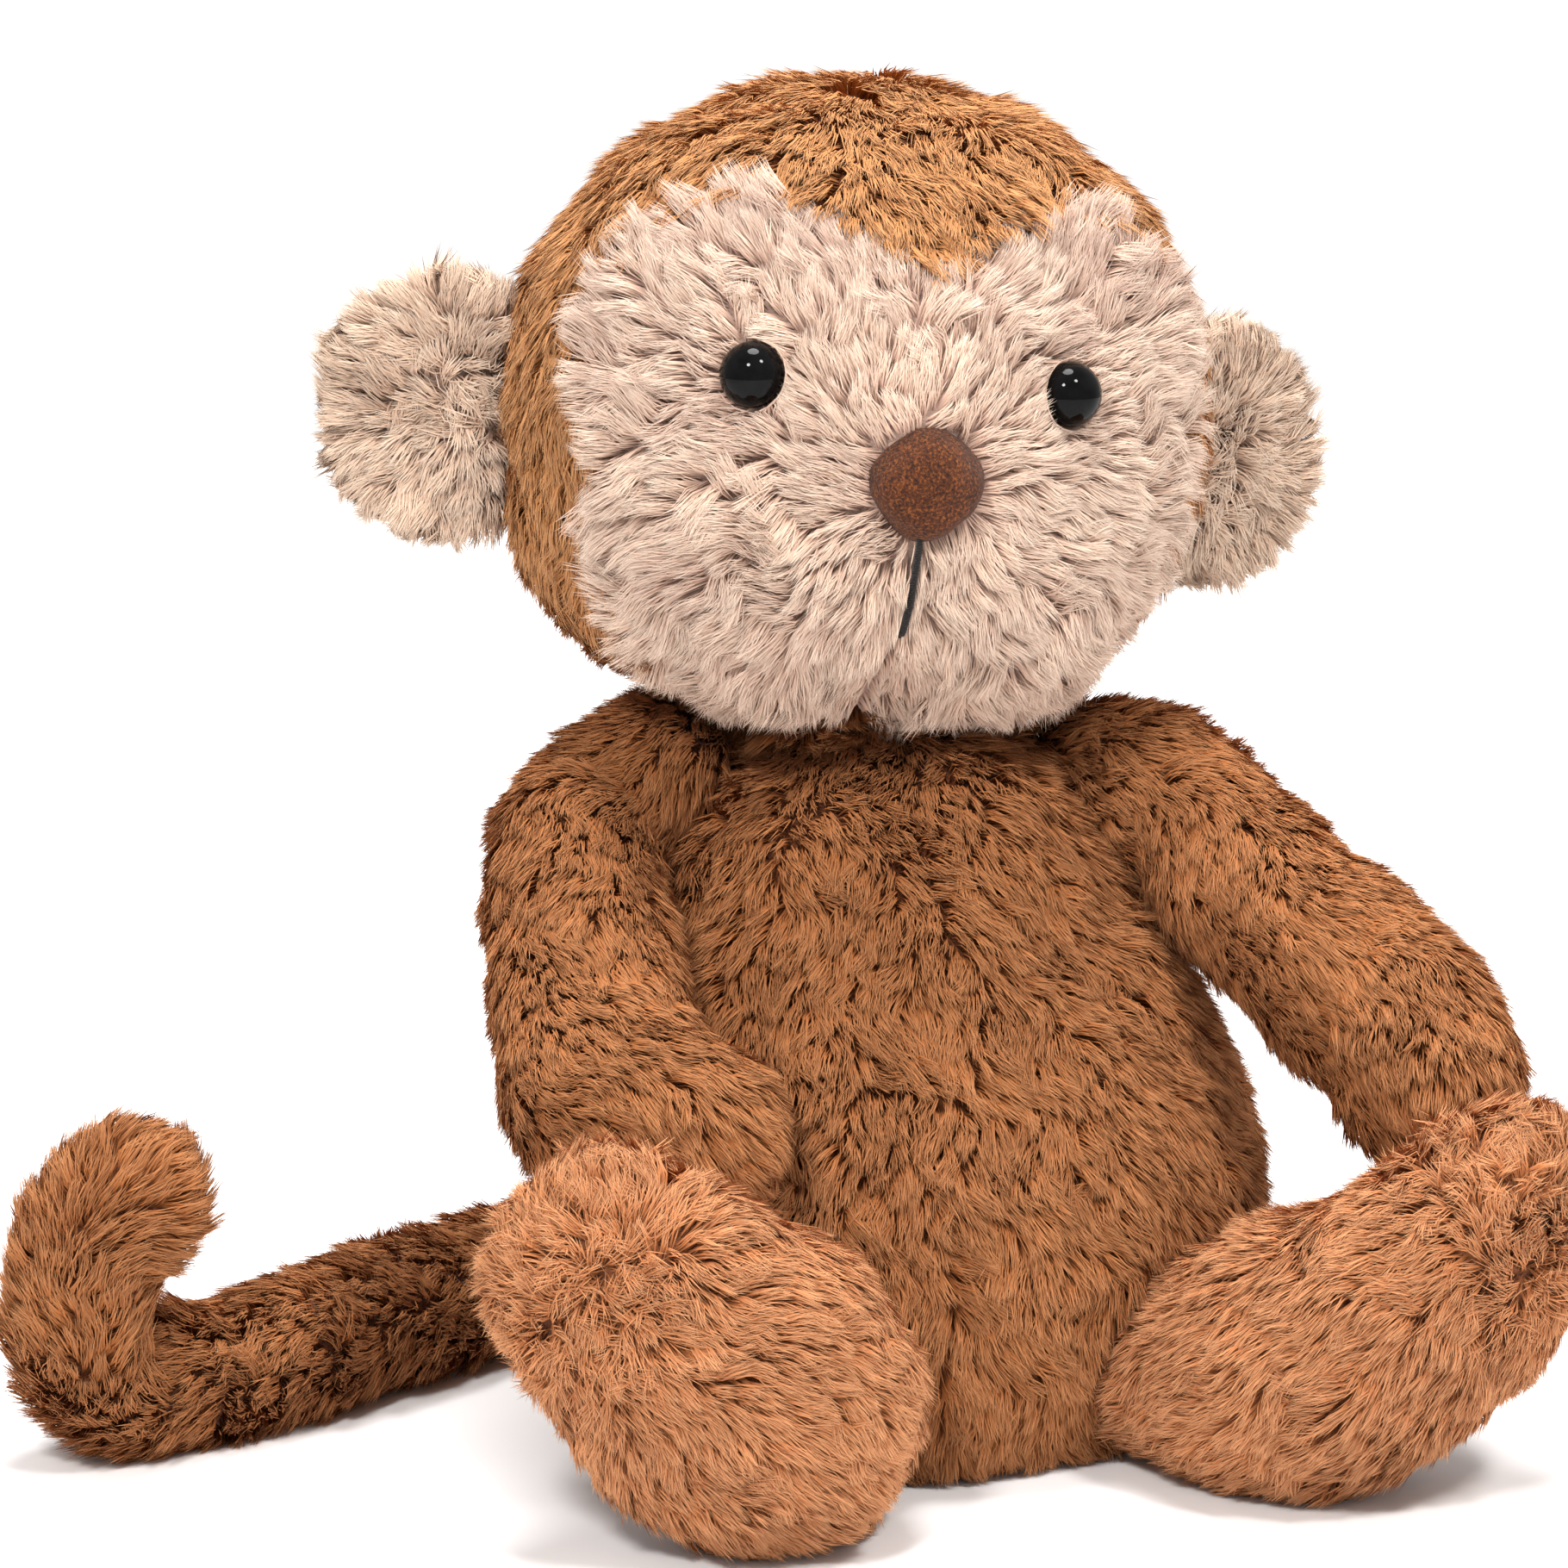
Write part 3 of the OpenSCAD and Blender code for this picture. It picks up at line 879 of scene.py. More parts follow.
@dataclass
class Head:
    """Head: crown and face cloth, their pile, the eyes, the nose and the mouth."""

    centre: tuple[float, float, float] = (-10.5 * MM, 6 * MM, 164 * MM)
    roll: float = math.radians(5)
    nose_aim: tuple[float, float, float] = (-0.008, -1.0, -0.137)
    eye_aims: dict[Side, tuple[float, float, float]] = field(
        default_factory=lambda: {Side.RIGHT: (-28.5, -42.0, 7.5), Side.LEFT: (23.5, -42.0, 7.0)}
    )
    eye_radius: float = 5.1 * MM
    eye_rise: float = 1.6 * MM
    nose_half: float = 8.8 * MM
    nose_rise: float = 6.0 * MM
    mouth_from: float = 15.0
    mouth_to: float = 39.0
    thread: float = 0.42 * MM
    parting: float = 0.8 * MM

    def _turn(self) -> np.ndarray:
        """Matrix from the head's own axes to the toy's."""
        return np.array(Matrix.Rotation(self.roll, 3, "Y"))

    def local(self, points: Points) -> Points:
        """Points in the head's own axes."""
        return (points - np.array(self.centre)) @ self._turn()

    def on_cloth(self, direction: Sequence[float]) -> Points:
        """Point of the head's cloth in a direction of the head's own axes."""
        way = self._turn() @ unit(np.asarray(direction, float))
        start = Vector(self.centre) + Vector(way) * 0.1
        hit = self.cover.ray_cast(start, -Vector(way))[0]
        return np.array(hit)

    def _sew(self, shop: Workshop) -> None:
        """Sew the head's skin and cut it into crown and face."""
        skin = SkinCut(grid=1.6 * MM, smoothing=5, lump=0.5 * MM).sew(
            "head_skin", shop.nodes("head_cover", "face_panel", "head_stuffing"), 11
        )
        self.cover = solid_tree(skin)
        self.whole = Cloth(skin)
        self.face_tree = solid_tree(*shop.nodes("face_panel"))
        self.crown_tree = solid_tree(*shop.nodes("head_cover"))
        shop.skins["head"] = skin.copy()
        shop.skins["head"].data = skin.data.copy()
        centres = np.array([f.center for f in skin.data.polygons])
        facial = self.is_face(centres)
        for name, wanted, body_slot, node, finish in (
            ("face_cloth_panel", True, "face_plush", "face_panel", shop.wardrobe["face_cloth"]),
            ("crown_cloth_panel", False, "crown_plush", "head_cover", shop.wardrobe["crown_cloth"]),
        ):
            work = bmesh.new()
            work.from_mesh(skin.data)
            work.faces.ensure_lookup_table()
            spare = [f for f in work.faces if facial[f.index] != wanted]
            bmesh.ops.delete(work, geom=spare, context="FACES")
            mesh = bpy.data.meshes.new(name)
            work.to_mesh(mesh)
            work.free()
            piece = add_object(name, mesh)
            thick = piece.modifiers.new("thickness", "SOLIDIFY")
            thick.thickness = 1.2 * MM
            thick.offset = -1
            apply_modifiers(piece)
            piece.data.shade_smooth()
            piece.data.materials.append(finish)
            shop.settle(piece, "head", body_slot, node)
        bpy.data.objects.remove(skin)

    def is_face(self, points: Points) -> np.ndarray:
        """Whether points lie on the face panel rather than the crown."""
        return distance_to(self.face_tree, points) < distance_to(self.crown_tree, points)

    def _grow(self, shop: Workshop) -> None:
        """Grow the crown's and the face's pile."""
        nose = self.on_cloth(self.nose_aim)
        eyes = {side: self.on_cloth(aim) for side, aim in self.eye_aims.items()}
        side_axis = self._turn()[:, 0]
        clear = shop.visible("torso")
        rng = np.random.default_rng(5)

        def fuzzy_face(points: Points) -> np.ndarray:
            """Weight of the face pile, with an uneven seam."""
            return self.is_face(points + rng.normal(size=points.shape) * 0.5 * MM).astype(float)

        def face_weight(points: Points) -> np.ndarray:
            """Face pile, with room for the nose, the eyes and the mouth."""
            weight = fuzzy_face(points) * clear(points)
            weight *= np.linalg.norm(points - nose, axis=1) > self.nose_half * 0.9
            for eye in eyes.values():
                weight *= np.linalg.norm(points - eye, axis=1) > self.eye_radius * 0.82
            here = self.local(points)
            slit = np.abs(here[:, 0] + self.parting) < 0.7 * MM
            slit &= (here[:, 2] < -6 * MM) & (here[:, 2] > -36 * MM)
            return weight * (1 - 0.9 * slit)

        def face_comb(points: Points, normals: Points) -> Points:
            """Pile that radiates from the nose."""
            return unit(points - nose + np.array([0, 0, -0.12]) * MM)

        def face_trim(points: Points) -> np.ndarray:
            """Pile is shorter by the nose and the eyes."""
            size = np.ones(len(points))
            for eye in eyes.values():
                gap = np.linalg.norm(points - eye, axis=1)
                over = ((eye - points) * (points - nose)).sum(1) > 0
                shortest = np.where(over, 0.3, 0.55)
                size *= shortest + (1 - shortest) * np.clip((gap - 4 * MM) / (9 * MM), 0, 1)
            gap = (np.linalg.norm(points - nose, axis=1) - self.nose_half) / (12 * MM)
            size *= np.clip(0.72 + 0.28 * gap, 0.72, 1.0)
            here = self.local(points)
            brow = (here[:, 2] > 12 * MM) & (np.abs(here[:, 0]) < 20 * MM)
            cleft = np.exp(-((here[:, 0] / (3.5 * MM)) ** 2))
            size *= 1 - 0.6 * cleft * np.clip((-here[:, 2] - 24 * MM) / (12 * MM), 0, 1)
            edge = np.ones(len(points))
            edge[brow] = np.clip(0.3 + distance_to(self.crown_tree, points[brow]) / (11 * MM), 0.3, 1.0)
            return size * edge

        def face_shade_and_tone(points: Points) -> np.ndarray:
            """Painted shade: pinker and darker at the sides, the jaw, the brow and round the eyes, over a
            slow random change of tone.
            """
            here = self.local(points)
            # Painted shade: darker at the sides and the jaw, darker on the brow against the top light, and
            # darker in the hollows round the eyes; the ripple is random tone.
            tone = 0.62 - 0.22 * np.clip(np.abs(here[:, 0]) / (50 * MM), 0, 1) ** 2
            tone -= 0.2 * np.clip((-here[:, 2] - 14 * MM) / (26 * MM), 0, 1)
            tone -= 0.32 * np.clip((here[:, 2] - 6 * MM) / (20 * MM), 0, 1)
            for eye in eyes.values():
                tone -= 0.22 * np.exp(-((np.linalg.norm(points - eye, axis=1) / (8 * MM)) ** 2))
            return tone + ripple(points, 14 * MM, 77) * 0.1

        def part_mouth(places: Points, middle: Points, tip: Points) -> tuple[Points, Points]:
            """Pile stays off the eyes and parts along the mouth."""
            for line, room in ((middle, 0.6 * MM), (tip, 1.1 * MM)):
                for eye in eyes.values():
                    aim = unit(eye - np.array(self.centre))
                    ball = eye + aim * self.eye_rise
                    off = line - ball
                    far = np.linalg.norm(off, axis=1)
                    near = far < self.eye_radius + 0.5 * MM
                    flat = off - (off @ aim)[:, None] * aim
                    out = unit(flat) * 0.9 + aim * 0.1
                    line[near] = ball + unit(out[near]) * (self.eye_radius + 0.6 * MM)
                here, root = self.local(line), self.local(places)
                here[:, 0] += self.parting
                root[:, 0] += self.parting
                band = (root[:, 2] < -8 * MM) & (root[:, 1] < 0) & (np.abs(here[:, 0]) < 4 * MM)
                fade = np.interp(root[:, 2], [-50 * MM, -42 * MM, -30 * MM, -22 * MM], [2.6, 1.8, 0.3, 1.0])
                sign = np.where(root[:, 0] >= 0, 1.0, -1.0)
                shift = np.clip(room * fade - here[:, 0] * sign, 0, None) * sign * band
                line += shift[:, None] * side_axis
            return middle, tip

        nap = Nap(
            length=7.8 * MM,
            density=7.4,
            tuft=1.9 * MM,
            lock=5.0 * MM,
            gather=0.44,
            lock_gather=0.32,
            dome=0.22,
            rise=52,
            fall=24,
            heading=32,
            swirl=34,
            swirl_size=12 * MM,
            width=0.22 * MM,
        )
        finish = shop.wardrobe["face_pile"]
        face = Pile(
            "face_pile", nap, finish, face_comb, 101, face_weight, face_trim, face_shade_and_tone, part=part_mouth
        )
        shop.settle(face.grow(self.whole), "head", "face_plush")

        def crown_weight(points: Points) -> np.ndarray:
            """Everywhere that the face pile isn't."""
            return (1 - fuzzy_face(points)) * clear(points)

        def crown_comb(points: Points, normals: Points) -> Points:
            """Pile that falls back and down from the top of the head."""
            here = self.local(points)
            fall = np.stack([here[:, 0] * 0.6, here[:, 1] * 0.5 - 9 * MM, -np.full(len(here), 30 * MM)], 1)
            return unit(fall @ self._turn().T)

        def crown_shade_and_tone(points: Points) -> np.ndarray:
            """Painted shade: darker at the sides of the head, over a slow random change of tone."""
            here = self.local(points)
            tone = 0.56 - 0.3 * np.clip((np.abs(here[:, 0]) - 22 * MM) / (22 * MM), 0, 1)
            return tone + ripple(points, 15 * MM, 76) * 0.08

        crown = Nap(
            length=6.8 * MM,
            density=5.7,
            lock=2.8 * MM,
            lock_gather=0.3,
            gather=0.34,
            dome=0.16,
            rise=46,
            fall=8,
            heading=30,
            swirl=24,
        )
        shares = (
            ("crown_pile_right", lambda p: (self.local(p)[:, 0] < 0).astype(float)),
            ("crown_pile_left", lambda p: (self.local(p)[:, 0] >= 0).astype(float)),
        )
        for seed, (name, weight) in enumerate(split_by(shares, crown_weight), 111):
            pile = Pile(name, crown, shop.wardrobe["crown_pile"], crown_comb, seed, weight, tone=crown_shade_and_tone)
            shop.settle(pile.grow(self.whole), "head", "crown_plush")

    def _eye(self, shop: Workshop, side: Side) -> None:
        """Make a moulded eye: a low-browed dome with a rolled rim on its stem."""
        aim = self._turn() @ unit(np.array(self.eye_aims[side]))
        seat = self.on_cloth(self.eye_aims[side]) + aim * self.eye_rise
        radius, rows, around = self.eye_radius, 18, 48
        arc = np.linspace(math.pi / 2, 0, rows)
        profile = [(radius * math.cos(a), radius * 0.96 * math.sin(a)) for a in arc]
        profile += [(radius * 0.985, -0.5 * MM), (radius * 0.9, -0.9 * MM), (radius * 0.7, -1.1 * MM)]
        profile += [(1.7 * MM, -1.2 * MM), (1.5 * MM, -1.7 * MM), (1.5 * MM, -9.5 * MM), (0.0, -9.8 * MM)]
        piece = lathe(f"eye_{side.value}_dome", profile, around, seat, aim)
        piece.data.materials.append(shop.wardrobe["eye_gloss"])
        shop.settle(piece, "head", "eye_plastic", f"eye_{side.value}")

    def _nose(self, shop: Workshop) -> None:
        """Make the suede nose: a padded shield with a turned edge."""
        aim = self._turn() @ unit(np.array(self.nose_aim))
        base = self.on_cloth(self.nose_aim)
        right = along_surface(self._turn()[:, 0], aim)
        up = np.cross(aim, right)
        up = up if up[2] > 0 else -up
        angles = np.linspace(0, 2 * math.pi, 72, endpoint=False)
        reach = 0.98 - 0.035 * np.cos(4 * (angles - math.pi / 4))
        reach = self.nose_half * (reach - 0.02 * np.sin(angles) + 0.02 * np.sin(3 * angles))
        rings = [(r, self.nose_rise * (1 - r**2.8) ** 0.62) for r in np.linspace(0.06, 1.0, 18)]
        rings += [(0.985, -0.8 * MM), (0.94, -1.6 * MM)]
        points = [base + aim * self.nose_rise]
        for r, height in rings:
            for a, edge in zip(angles, reach):
                flat = right * edge * r * math.cos(a) + up * edge * r * math.sin(a)
                points.append(base + flat + aim * height)
        count = len(angles)
        faces = dome_faces(count, len(rings))
        faces.append(tuple(1 + (len(rings) - 1) * count + k for k in reversed(range(count))))
        piece = mesh_of("nose_suede_patch", np.array(points), faces)
        dents = ripple(vertices_of(piece.data), 6 * MM, 9) * 0.12 * MM
        set_vertices(piece.data, vertices_of(piece.data) + normals_of(piece.data) * dents[:, None])
        piece.data.materials.append(shop.wardrobe["nose_suede"])
        shop.settle(piece, "head", "nose_suede", "nose_patch")

    def _mouth(self, shop: Workshop) -> None:
        """Make the mouth: two plies of thread twisted along the middle of the chin."""
        steps = 90
        thetas = np.radians(np.linspace(self.mouth_from, self.mouth_to, steps))
        lift = np.interp(np.linspace(0, 1, steps), [0, 0.12, 0.55, 0.85, 1], [3.0, 3.8, 3.4, 2.2, 0.3]) * MM
        line = []
        for theta, height in zip(thetas, lift):
            way = (0.0, -math.cos(theta), -math.sin(theta))
            line.append(self.on_cloth(way) + self._turn() @ np.array(way) * height)
        line = np.array(line)
        line += self._turn()[:, 0] * (np.linspace(-1.2, -0.5, steps) * MM)[:, None]
        plies = [twisted(line, self.thread * 0.55, 26.0, start, self.thread) for start in (0.0, math.pi)]
        points = np.concatenate([p for p, _ in plies])
        faces = plies[0][1] + [tuple(k + len(plies[0][0]) for k in f) for f in plies[1][1]]
        piece = mesh_of("mouth_thread", points, faces)
        piece.data.materials.append(shop.wardrobe["mouth_thread"])
        shop.settle(piece, "head", "thread", "mouth_stitch")

    def _ruff(self, shop: Workshop) -> None:
        """Grow the pile that hides the neck's turned seam."""
        low, high = (np.array(c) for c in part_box("neck_ring"))
        middle = (low + high) / 2

        def comb(points: Points, normals: Points) -> Points:
            """Pile that falls outward and down."""
            return unit(points - middle) + np.array([0, 0, -1.2])

        nap = Nap(length=6.0 * MM, density=14.0, lock=3.0 * MM, rise=40, fall=10, heading=34)
        finish = shop.wardrobe["body_pile"]
        pile = Pile("neck_pile", nap, finish, comb, 121, tone=lambda p: np.full(len(p), 0.4))
        shop.settle(pile.grow(Cloth(*shop.nodes("neck_ring"))), "neck", "body_plush")

    def build(self, shop: Workshop) -> None:
        """Build the head."""
        self._sew(shop)
        self._grow(shop)
        for side in Side:
            self._eye(shop, side)
            shop.dress(shop.wardrobe["washer_white"], f"eye_washer_{side.value}")
        self._nose(shop)
        self._mouth(shop)
        shop.dress(shop.wardrobe["wadding"], "head_stuffing", "nose_pad")
        shop.dress(shop.wardrobe["seam_thread"], "neck_ring")
        self._ruff(shop)


def dome_faces(count: int, rings: int) -> list[tuple[int, ...]]:
    """Faces round point 0 and over rings of points that follow it.

    Args:
        count: Points in a ring.
        rings: Number of rings.

    Returns:
        The faces, as point numbers.
    """
    faces: list[tuple[int, ...]] = [(0, 1 + k, 1 + (k + 1) % count) for k in range(count)]
    for start in range(1, 1 + (rings - 1) * count, count):
        for k in range(count):
            a, b = start + k, start + (k + 1) % count
            faces.append((a, a + count, b + count, b))
    return faces


def lathe(
    name: str, profile: Sequence[tuple[float, float]], around: int, at: Points, aim: Points
) -> Item:
    """A turned solid.

    Args:
        name: Name of the piece.
        profile: Radius and height along the axis, from the top to the bottom.
        around: Points round it.
        at: Place of height 0.
        aim: Its axis.

    Returns:
        The piece.
    """
    side = along_surface(np.array([0.3, 0.5, 0.8]), aim)
    other = np.cross(aim, side)
    points = [at + aim * profile[0][1]]
    for radius, height in profile[1:-1]:
        for k in range(around):
            a = 2 * math.pi * k / around
            points.append(at + aim * height + (side * math.cos(a) + other * math.sin(a)) * radius)
    points.append(at + aim * profile[-1][1])
    faces = dome_faces(around, len(profile) - 2)
    last = 1 + (len(profile) - 3) * around
    faces += [(len(points) - 1, last + (k + 1) % around, last + k) for k in range(around)]
    return mesh_of(name, np.array(points), faces)


def twisted(
    line: Points, radius: float, turns: float, start: float, thick: float
) -> tuple[Points, list[tuple[int, ...]]]:
    """One ply of a twisted thread.

    Args:
        line: Centre line of the thread.
        radius: Distance of the ply from it.
        turns: Turns over the whole length.
        start: Angle at the first end.
        thick: Radius of the ply.

    Returns:
        The ply's points and faces.
    """
    sides = 7
    along = unit(np.gradient(line, axis=0))
    side = along_surface(np.array([1.0, 0.0, 0.0]), along)
    other = np.cross(along, side)
    angle = start + np.linspace(0, turns * 2 * math.pi, len(line))[:, None]
    fine = np.linspace(0, 1, len(line))
    taper = np.clip(np.minimum(fine * 12, (1 - fine) * 12), 0.15, 1)[:, None]
    heart = line + radius * (side * np.cos(angle) + other * np.sin(angle))
    rings = []
    for k in range(sides):
        a = 2 * math.pi * k / sides
        rings.append(heart + thick * taper * (side * math.cos(a) + other * math.sin(a)))
    points = np.stack(rings, 1).reshape(-1, 3)
    faces: list[tuple[int, ...]] = []
    for i in range(len(line) - 1):
        for k in range(sides):
            n = (k + 1) % sides
            faces.append((i * sides + k, i * sides + n, (i + 1) * sides + n, (i + 1) * sides + k))
    faces.append(tuple(reversed(range(sides))))
    faces.append(tuple((len(line) - 1) * sides + k for k in range(sides)))
    return points, faces


@dataclass
class Ear:
    """One ear: a soft padded flap with pale pile in front."""

    side: Side

    def build(self, shop: Workshop) -> None:
        """Build the ear."""
        name = f"ear_{self.side.value}"
        front, back = f"{name}_front", f"{name}_back"
        skin = SkinCut(grid=1.1 * MM, smoothing=14, lump=0.5 * MM, lump_size=16 * MM).sew(
            f"{name}_skin", shop.nodes(front, back), 31 + self.side.sign
        )
        shop.skins[name] = skin
        skin.data.materials.append(shop.wardrobe["ear_cloth"])
        shop.settle(skin, name, "ear_plush", front, back)
        cloth = Cloth(skin)
        front_tree, back_tree = (solid_tree(*shop.nodes(n)) for n in (front, back))
        low, high = (np.array(c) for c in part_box(front))
        heart = (low + high) / 2
        heart[0] -= self.side.sign * 8 * MM

        def frontal(points: Points) -> np.ndarray:
            """1 on the front panel."""
            return (distance_to(front_tree, points) <= distance_to(back_tree, points)).astype(float)

        def comb(points: Points, normals: Points) -> Points:
            """Pile that fans out to the ear's edge."""
            return unit(points - heart)

        nap = Nap(
            length=6.6 * MM,
            density=9.0,
            lock=3.4 * MM,
            lock_gather=0.36,
            rise=48,
            fall=10,
            heading=30,
            gather=0.36,
        )
        clear = shop.visible("head")
        for seed, (label, share) in enumerate((("front", frontal), ("back", lambda p: 1 - frontal(p))), 131):
            pile = Pile(
                f"{name}_pile_{label}",
                nap,
                shop.wardrobe["ear_pile"],
                comb,
                seed + 5 * self.side.sign,
                lambda p, share=share: share(p) * clear(p),
                tone=lambda p: 0.5 + ripple(p, 14 * MM, 78) * 0.12,
                ruffle=lambda p: RUFFLE * np.exp(-((np.linalg.norm(p - heart, axis=1) / (9 * MM)) ** 2)),
            )
            shop.settle(pile.grow(cloth), name, "ear_plush")


@dataclass
class Torso:
    """Torso: one stuffed skin on a flat seat, with its pile combed downward."""

    root_radii: dict[str, float] = field(
        default_factory=lambda: {
            "arm_right": 11 * MM,
            "arm_left": 11 * MM,
            "leg_right": 14 * MM,
            "leg_left": 14 * MM,
            "tail": 9 * MM,
        }
    )
    socket_room: float = 3.2 * MM

    def sew(self, shop: Workshop) -> None:
        """Sew the skin."""
        names = ("torso_front", "torso_back", "seat_panel", "torso_stuffing", "seat_beans")
        skin = SkinCut(grid=2.0 * MM, smoothing=5, lump=0.7 * MM, lump_size=30 * MM).sew(
            "torso_skin", shop.nodes(*names), 21
        )
        points = vertices_of(skin.data)
        points[:, 2] = np.maximum(points[:, 2], 0.05 * MM)
        set_vertices(skin.data, points)
        shop.skins["torso"] = skin
        skin.data.materials.append(shop.wardrobe["body_cloth"])
        shop.settle(skin, "torso", "body_plush", "torso_front", "torso_back", "seat_panel")

    def _open(self, shop: Workshop, points: Points) -> np.ndarray:
        """1 outside the limbs' sockets and off the seat."""
        weight = (points[:, 2] > 0.5 * MM).astype(float)
        for joint in shop.frame["record"]["behaviour"]["joints"]:
            if joint["child"] in self.root_radii:
                gap = np.linalg.norm(points - np.array(joint["pos_m"]), axis=1)
                weight *= gap > self.root_radii[joint["child"]] + self.socket_room
        return weight

    def build(self, shop: Workshop) -> None:
        """Grow the pile."""
        cloth = Cloth(shop.skins["torso"])

        def comb(points: Points, normals: Points) -> Points:
            """Pile that falls down the body, a little to the left in front."""
            down = np.tile([0.18, -0.1, -1.0], (len(points), 1))
            down[:, 0] += points[:, 0] * 4
            return down

        def quarter(front: bool, edge: float, right: bool) -> Weight:
            """1 on one quarter of the body: before or behind, and right or left of an edge."""
            return lambda p: (((p[:, 1] < 8 * MM) == front) & ((p[:, 0] < edge) == right)).astype(float)

        def tone(points: Points) -> np.ndarray:
            """Slow changes of tone."""
            return 0.5 + ripple(points, 18 * MM, 79) * 0.1

        nap = Nap(
            length=6.8 * MM,
            density=6.25,
            lock=3.2 * MM,
            lock_gather=0.4,
            dome=0.2,
            rise=60,
            fall=22,
            heading=32,
            gather=0.36,
        )
        shares = [
            (f"torso_pile_{part}_{side.value}", quarter(part == "front", edge, side is Side.RIGHT))
            for part, edge in (("front", -4 * MM), ("back", 0.0))
            for side in Side
        ]
        for seed, (name, weight) in enumerate(split_by(shares, lambda p: self._open(shop, p)), 141):
            pile = Pile(name, nap, shop.wardrobe["body_pile"], comb, seed, weight, tone=tone)
            shop.settle(pile.grow(cloth), "torso", "body_plush")
        shop.dress(shop.wardrobe["wadding"], "torso_stuffing")
        shop.dress(shop.wardrobe["calico"], "seat_beans")
        shop.dress(shop.wardrobe["seam_thread"], "closing_stitch")


class Flow(Enum):
    """Which way a limb's pile is combed."""

    TO_TIP = "towards the tip"
    FROM_TOE = "away from the toe"


@dataclass
class Limb:
    """An arm, a leg or the tail: one stuffed skin with its pile."""

    name: str
    path: tuple[tuple[float, float, float], ...]
    flow: Flow
    nap: Nap
    seed: int
    panels: tuple[str, str] = ("inner", "outer")
    fill: float = 0.7
    bulge: tuple[tuple[float, float, float], tuple[float, float, float], float] | None = None

    def sew(self, shop: Workshop) -> None:
        """Sew the skin."""
        core = f"{self.name}_stuffing"
        panels = [f"{self.name}_{panel}" for panel in self.panels]
        skin = SkinCut(grid=1.6 * MM, smoothing=8, lump=0.6 * MM, lump_size=22 * MM).sew(
            f"{self.name}_skin", shop.nodes(*panels, core), self.seed + 40
        )
        if self.bulge is not None:
            heart, push, size = self.bulge
            points = vertices_of(skin.data)
            near = np.exp(-(((points - np.array(heart) * MM) / (size * MM)) ** 2).sum(1))
            set_vertices(skin.data, points + near[:, None] * np.array(push) * MM)
        shop.skins[self.name] = skin
        skin.data.materials.append(shop.wardrobe["body_cloth"])
        shop.settle(skin, self.name, "body_plush", *panels)
        shop.dress(shop.wardrobe["wadding"], core)

    def _line(self) -> Points:
        """Samples of the centre line, in metres."""
        return smooth_curve(self.path, 80) * MM

    def comb(self, points: Points, normals: Points) -> Points:
        """Direction of the pile.

        Args:
            points: Roots.
            normals: Surface normals at the roots.

        Returns:
            The directions.
        """
        line = self._line()
        if self.flow is Flow.FROM_TOE:
            return unit(points - line[CROWN_OF_TOE])
        along = unit(np.gradient(line, axis=0))
        nearest = np.argmin(((points[:, None, :] - line[None]) ** 2).sum(2), axis=1)
        return along[nearest]

    def ruffle(self, points: Points) -> np.ndarray:
        """How far the pile is ruffled over the tip of the toe, in degrees."""
        if self.flow is not Flow.FROM_TOE:
            return np.zeros(len(points))
        crown = self._line()[CROWN_OF_TOE]
        return RUFFLE * np.exp(-((np.linalg.norm(points - crown, axis=1) / (17 * MM)) ** 4))

    def build(self, shop: Workshop) -> None:
        """Grow the pile."""
        pile = Pile(
            f"{self.name}_pile",
            self.nap,
            # Feet take the body pile painted lighter, as painted light.
            shop.wardrobe["foot_pile_painted_light"] if self.flow is Flow.FROM_TOE else shop.wardrobe["body_pile"],
            self.comb,
            self.seed,
            shop.visible("torso"),
            tone=lambda p: 0.5 + ripple(p, 16 * MM, 80) * 0.1,
            ruffle=self.ruffle,
        )
        shop.settle(pile.grow(Cloth(shop.skins[self.name])), self.name, "body_plush")


# Sample of a leg's centre line that the foot's pile spreads out from.
CROWN_OF_TOE = -7
ARM_NAP = Nap(
    length=6.6 * MM,
    density=8.0,
    lock=2.8 * MM,
    lock_gather=0.32,
    dome=0.16,
    rise=50,
    fall=14,
    heading=26,
    gather=0.34,
)
FOOT_NAP = replace(ARM_NAP, length=6.4 * MM, density=6.3, lock=2.6 * MM, heading=28)
TAIL_NAP = Nap(
    length=7.6 * MM,
    density=6.1,
    lock=3.2 * MM,
    lock_gather=0.34,
    dome=0.2,
    rise=58,
    fall=18,
    heading=30,
    gather=0.36,
)


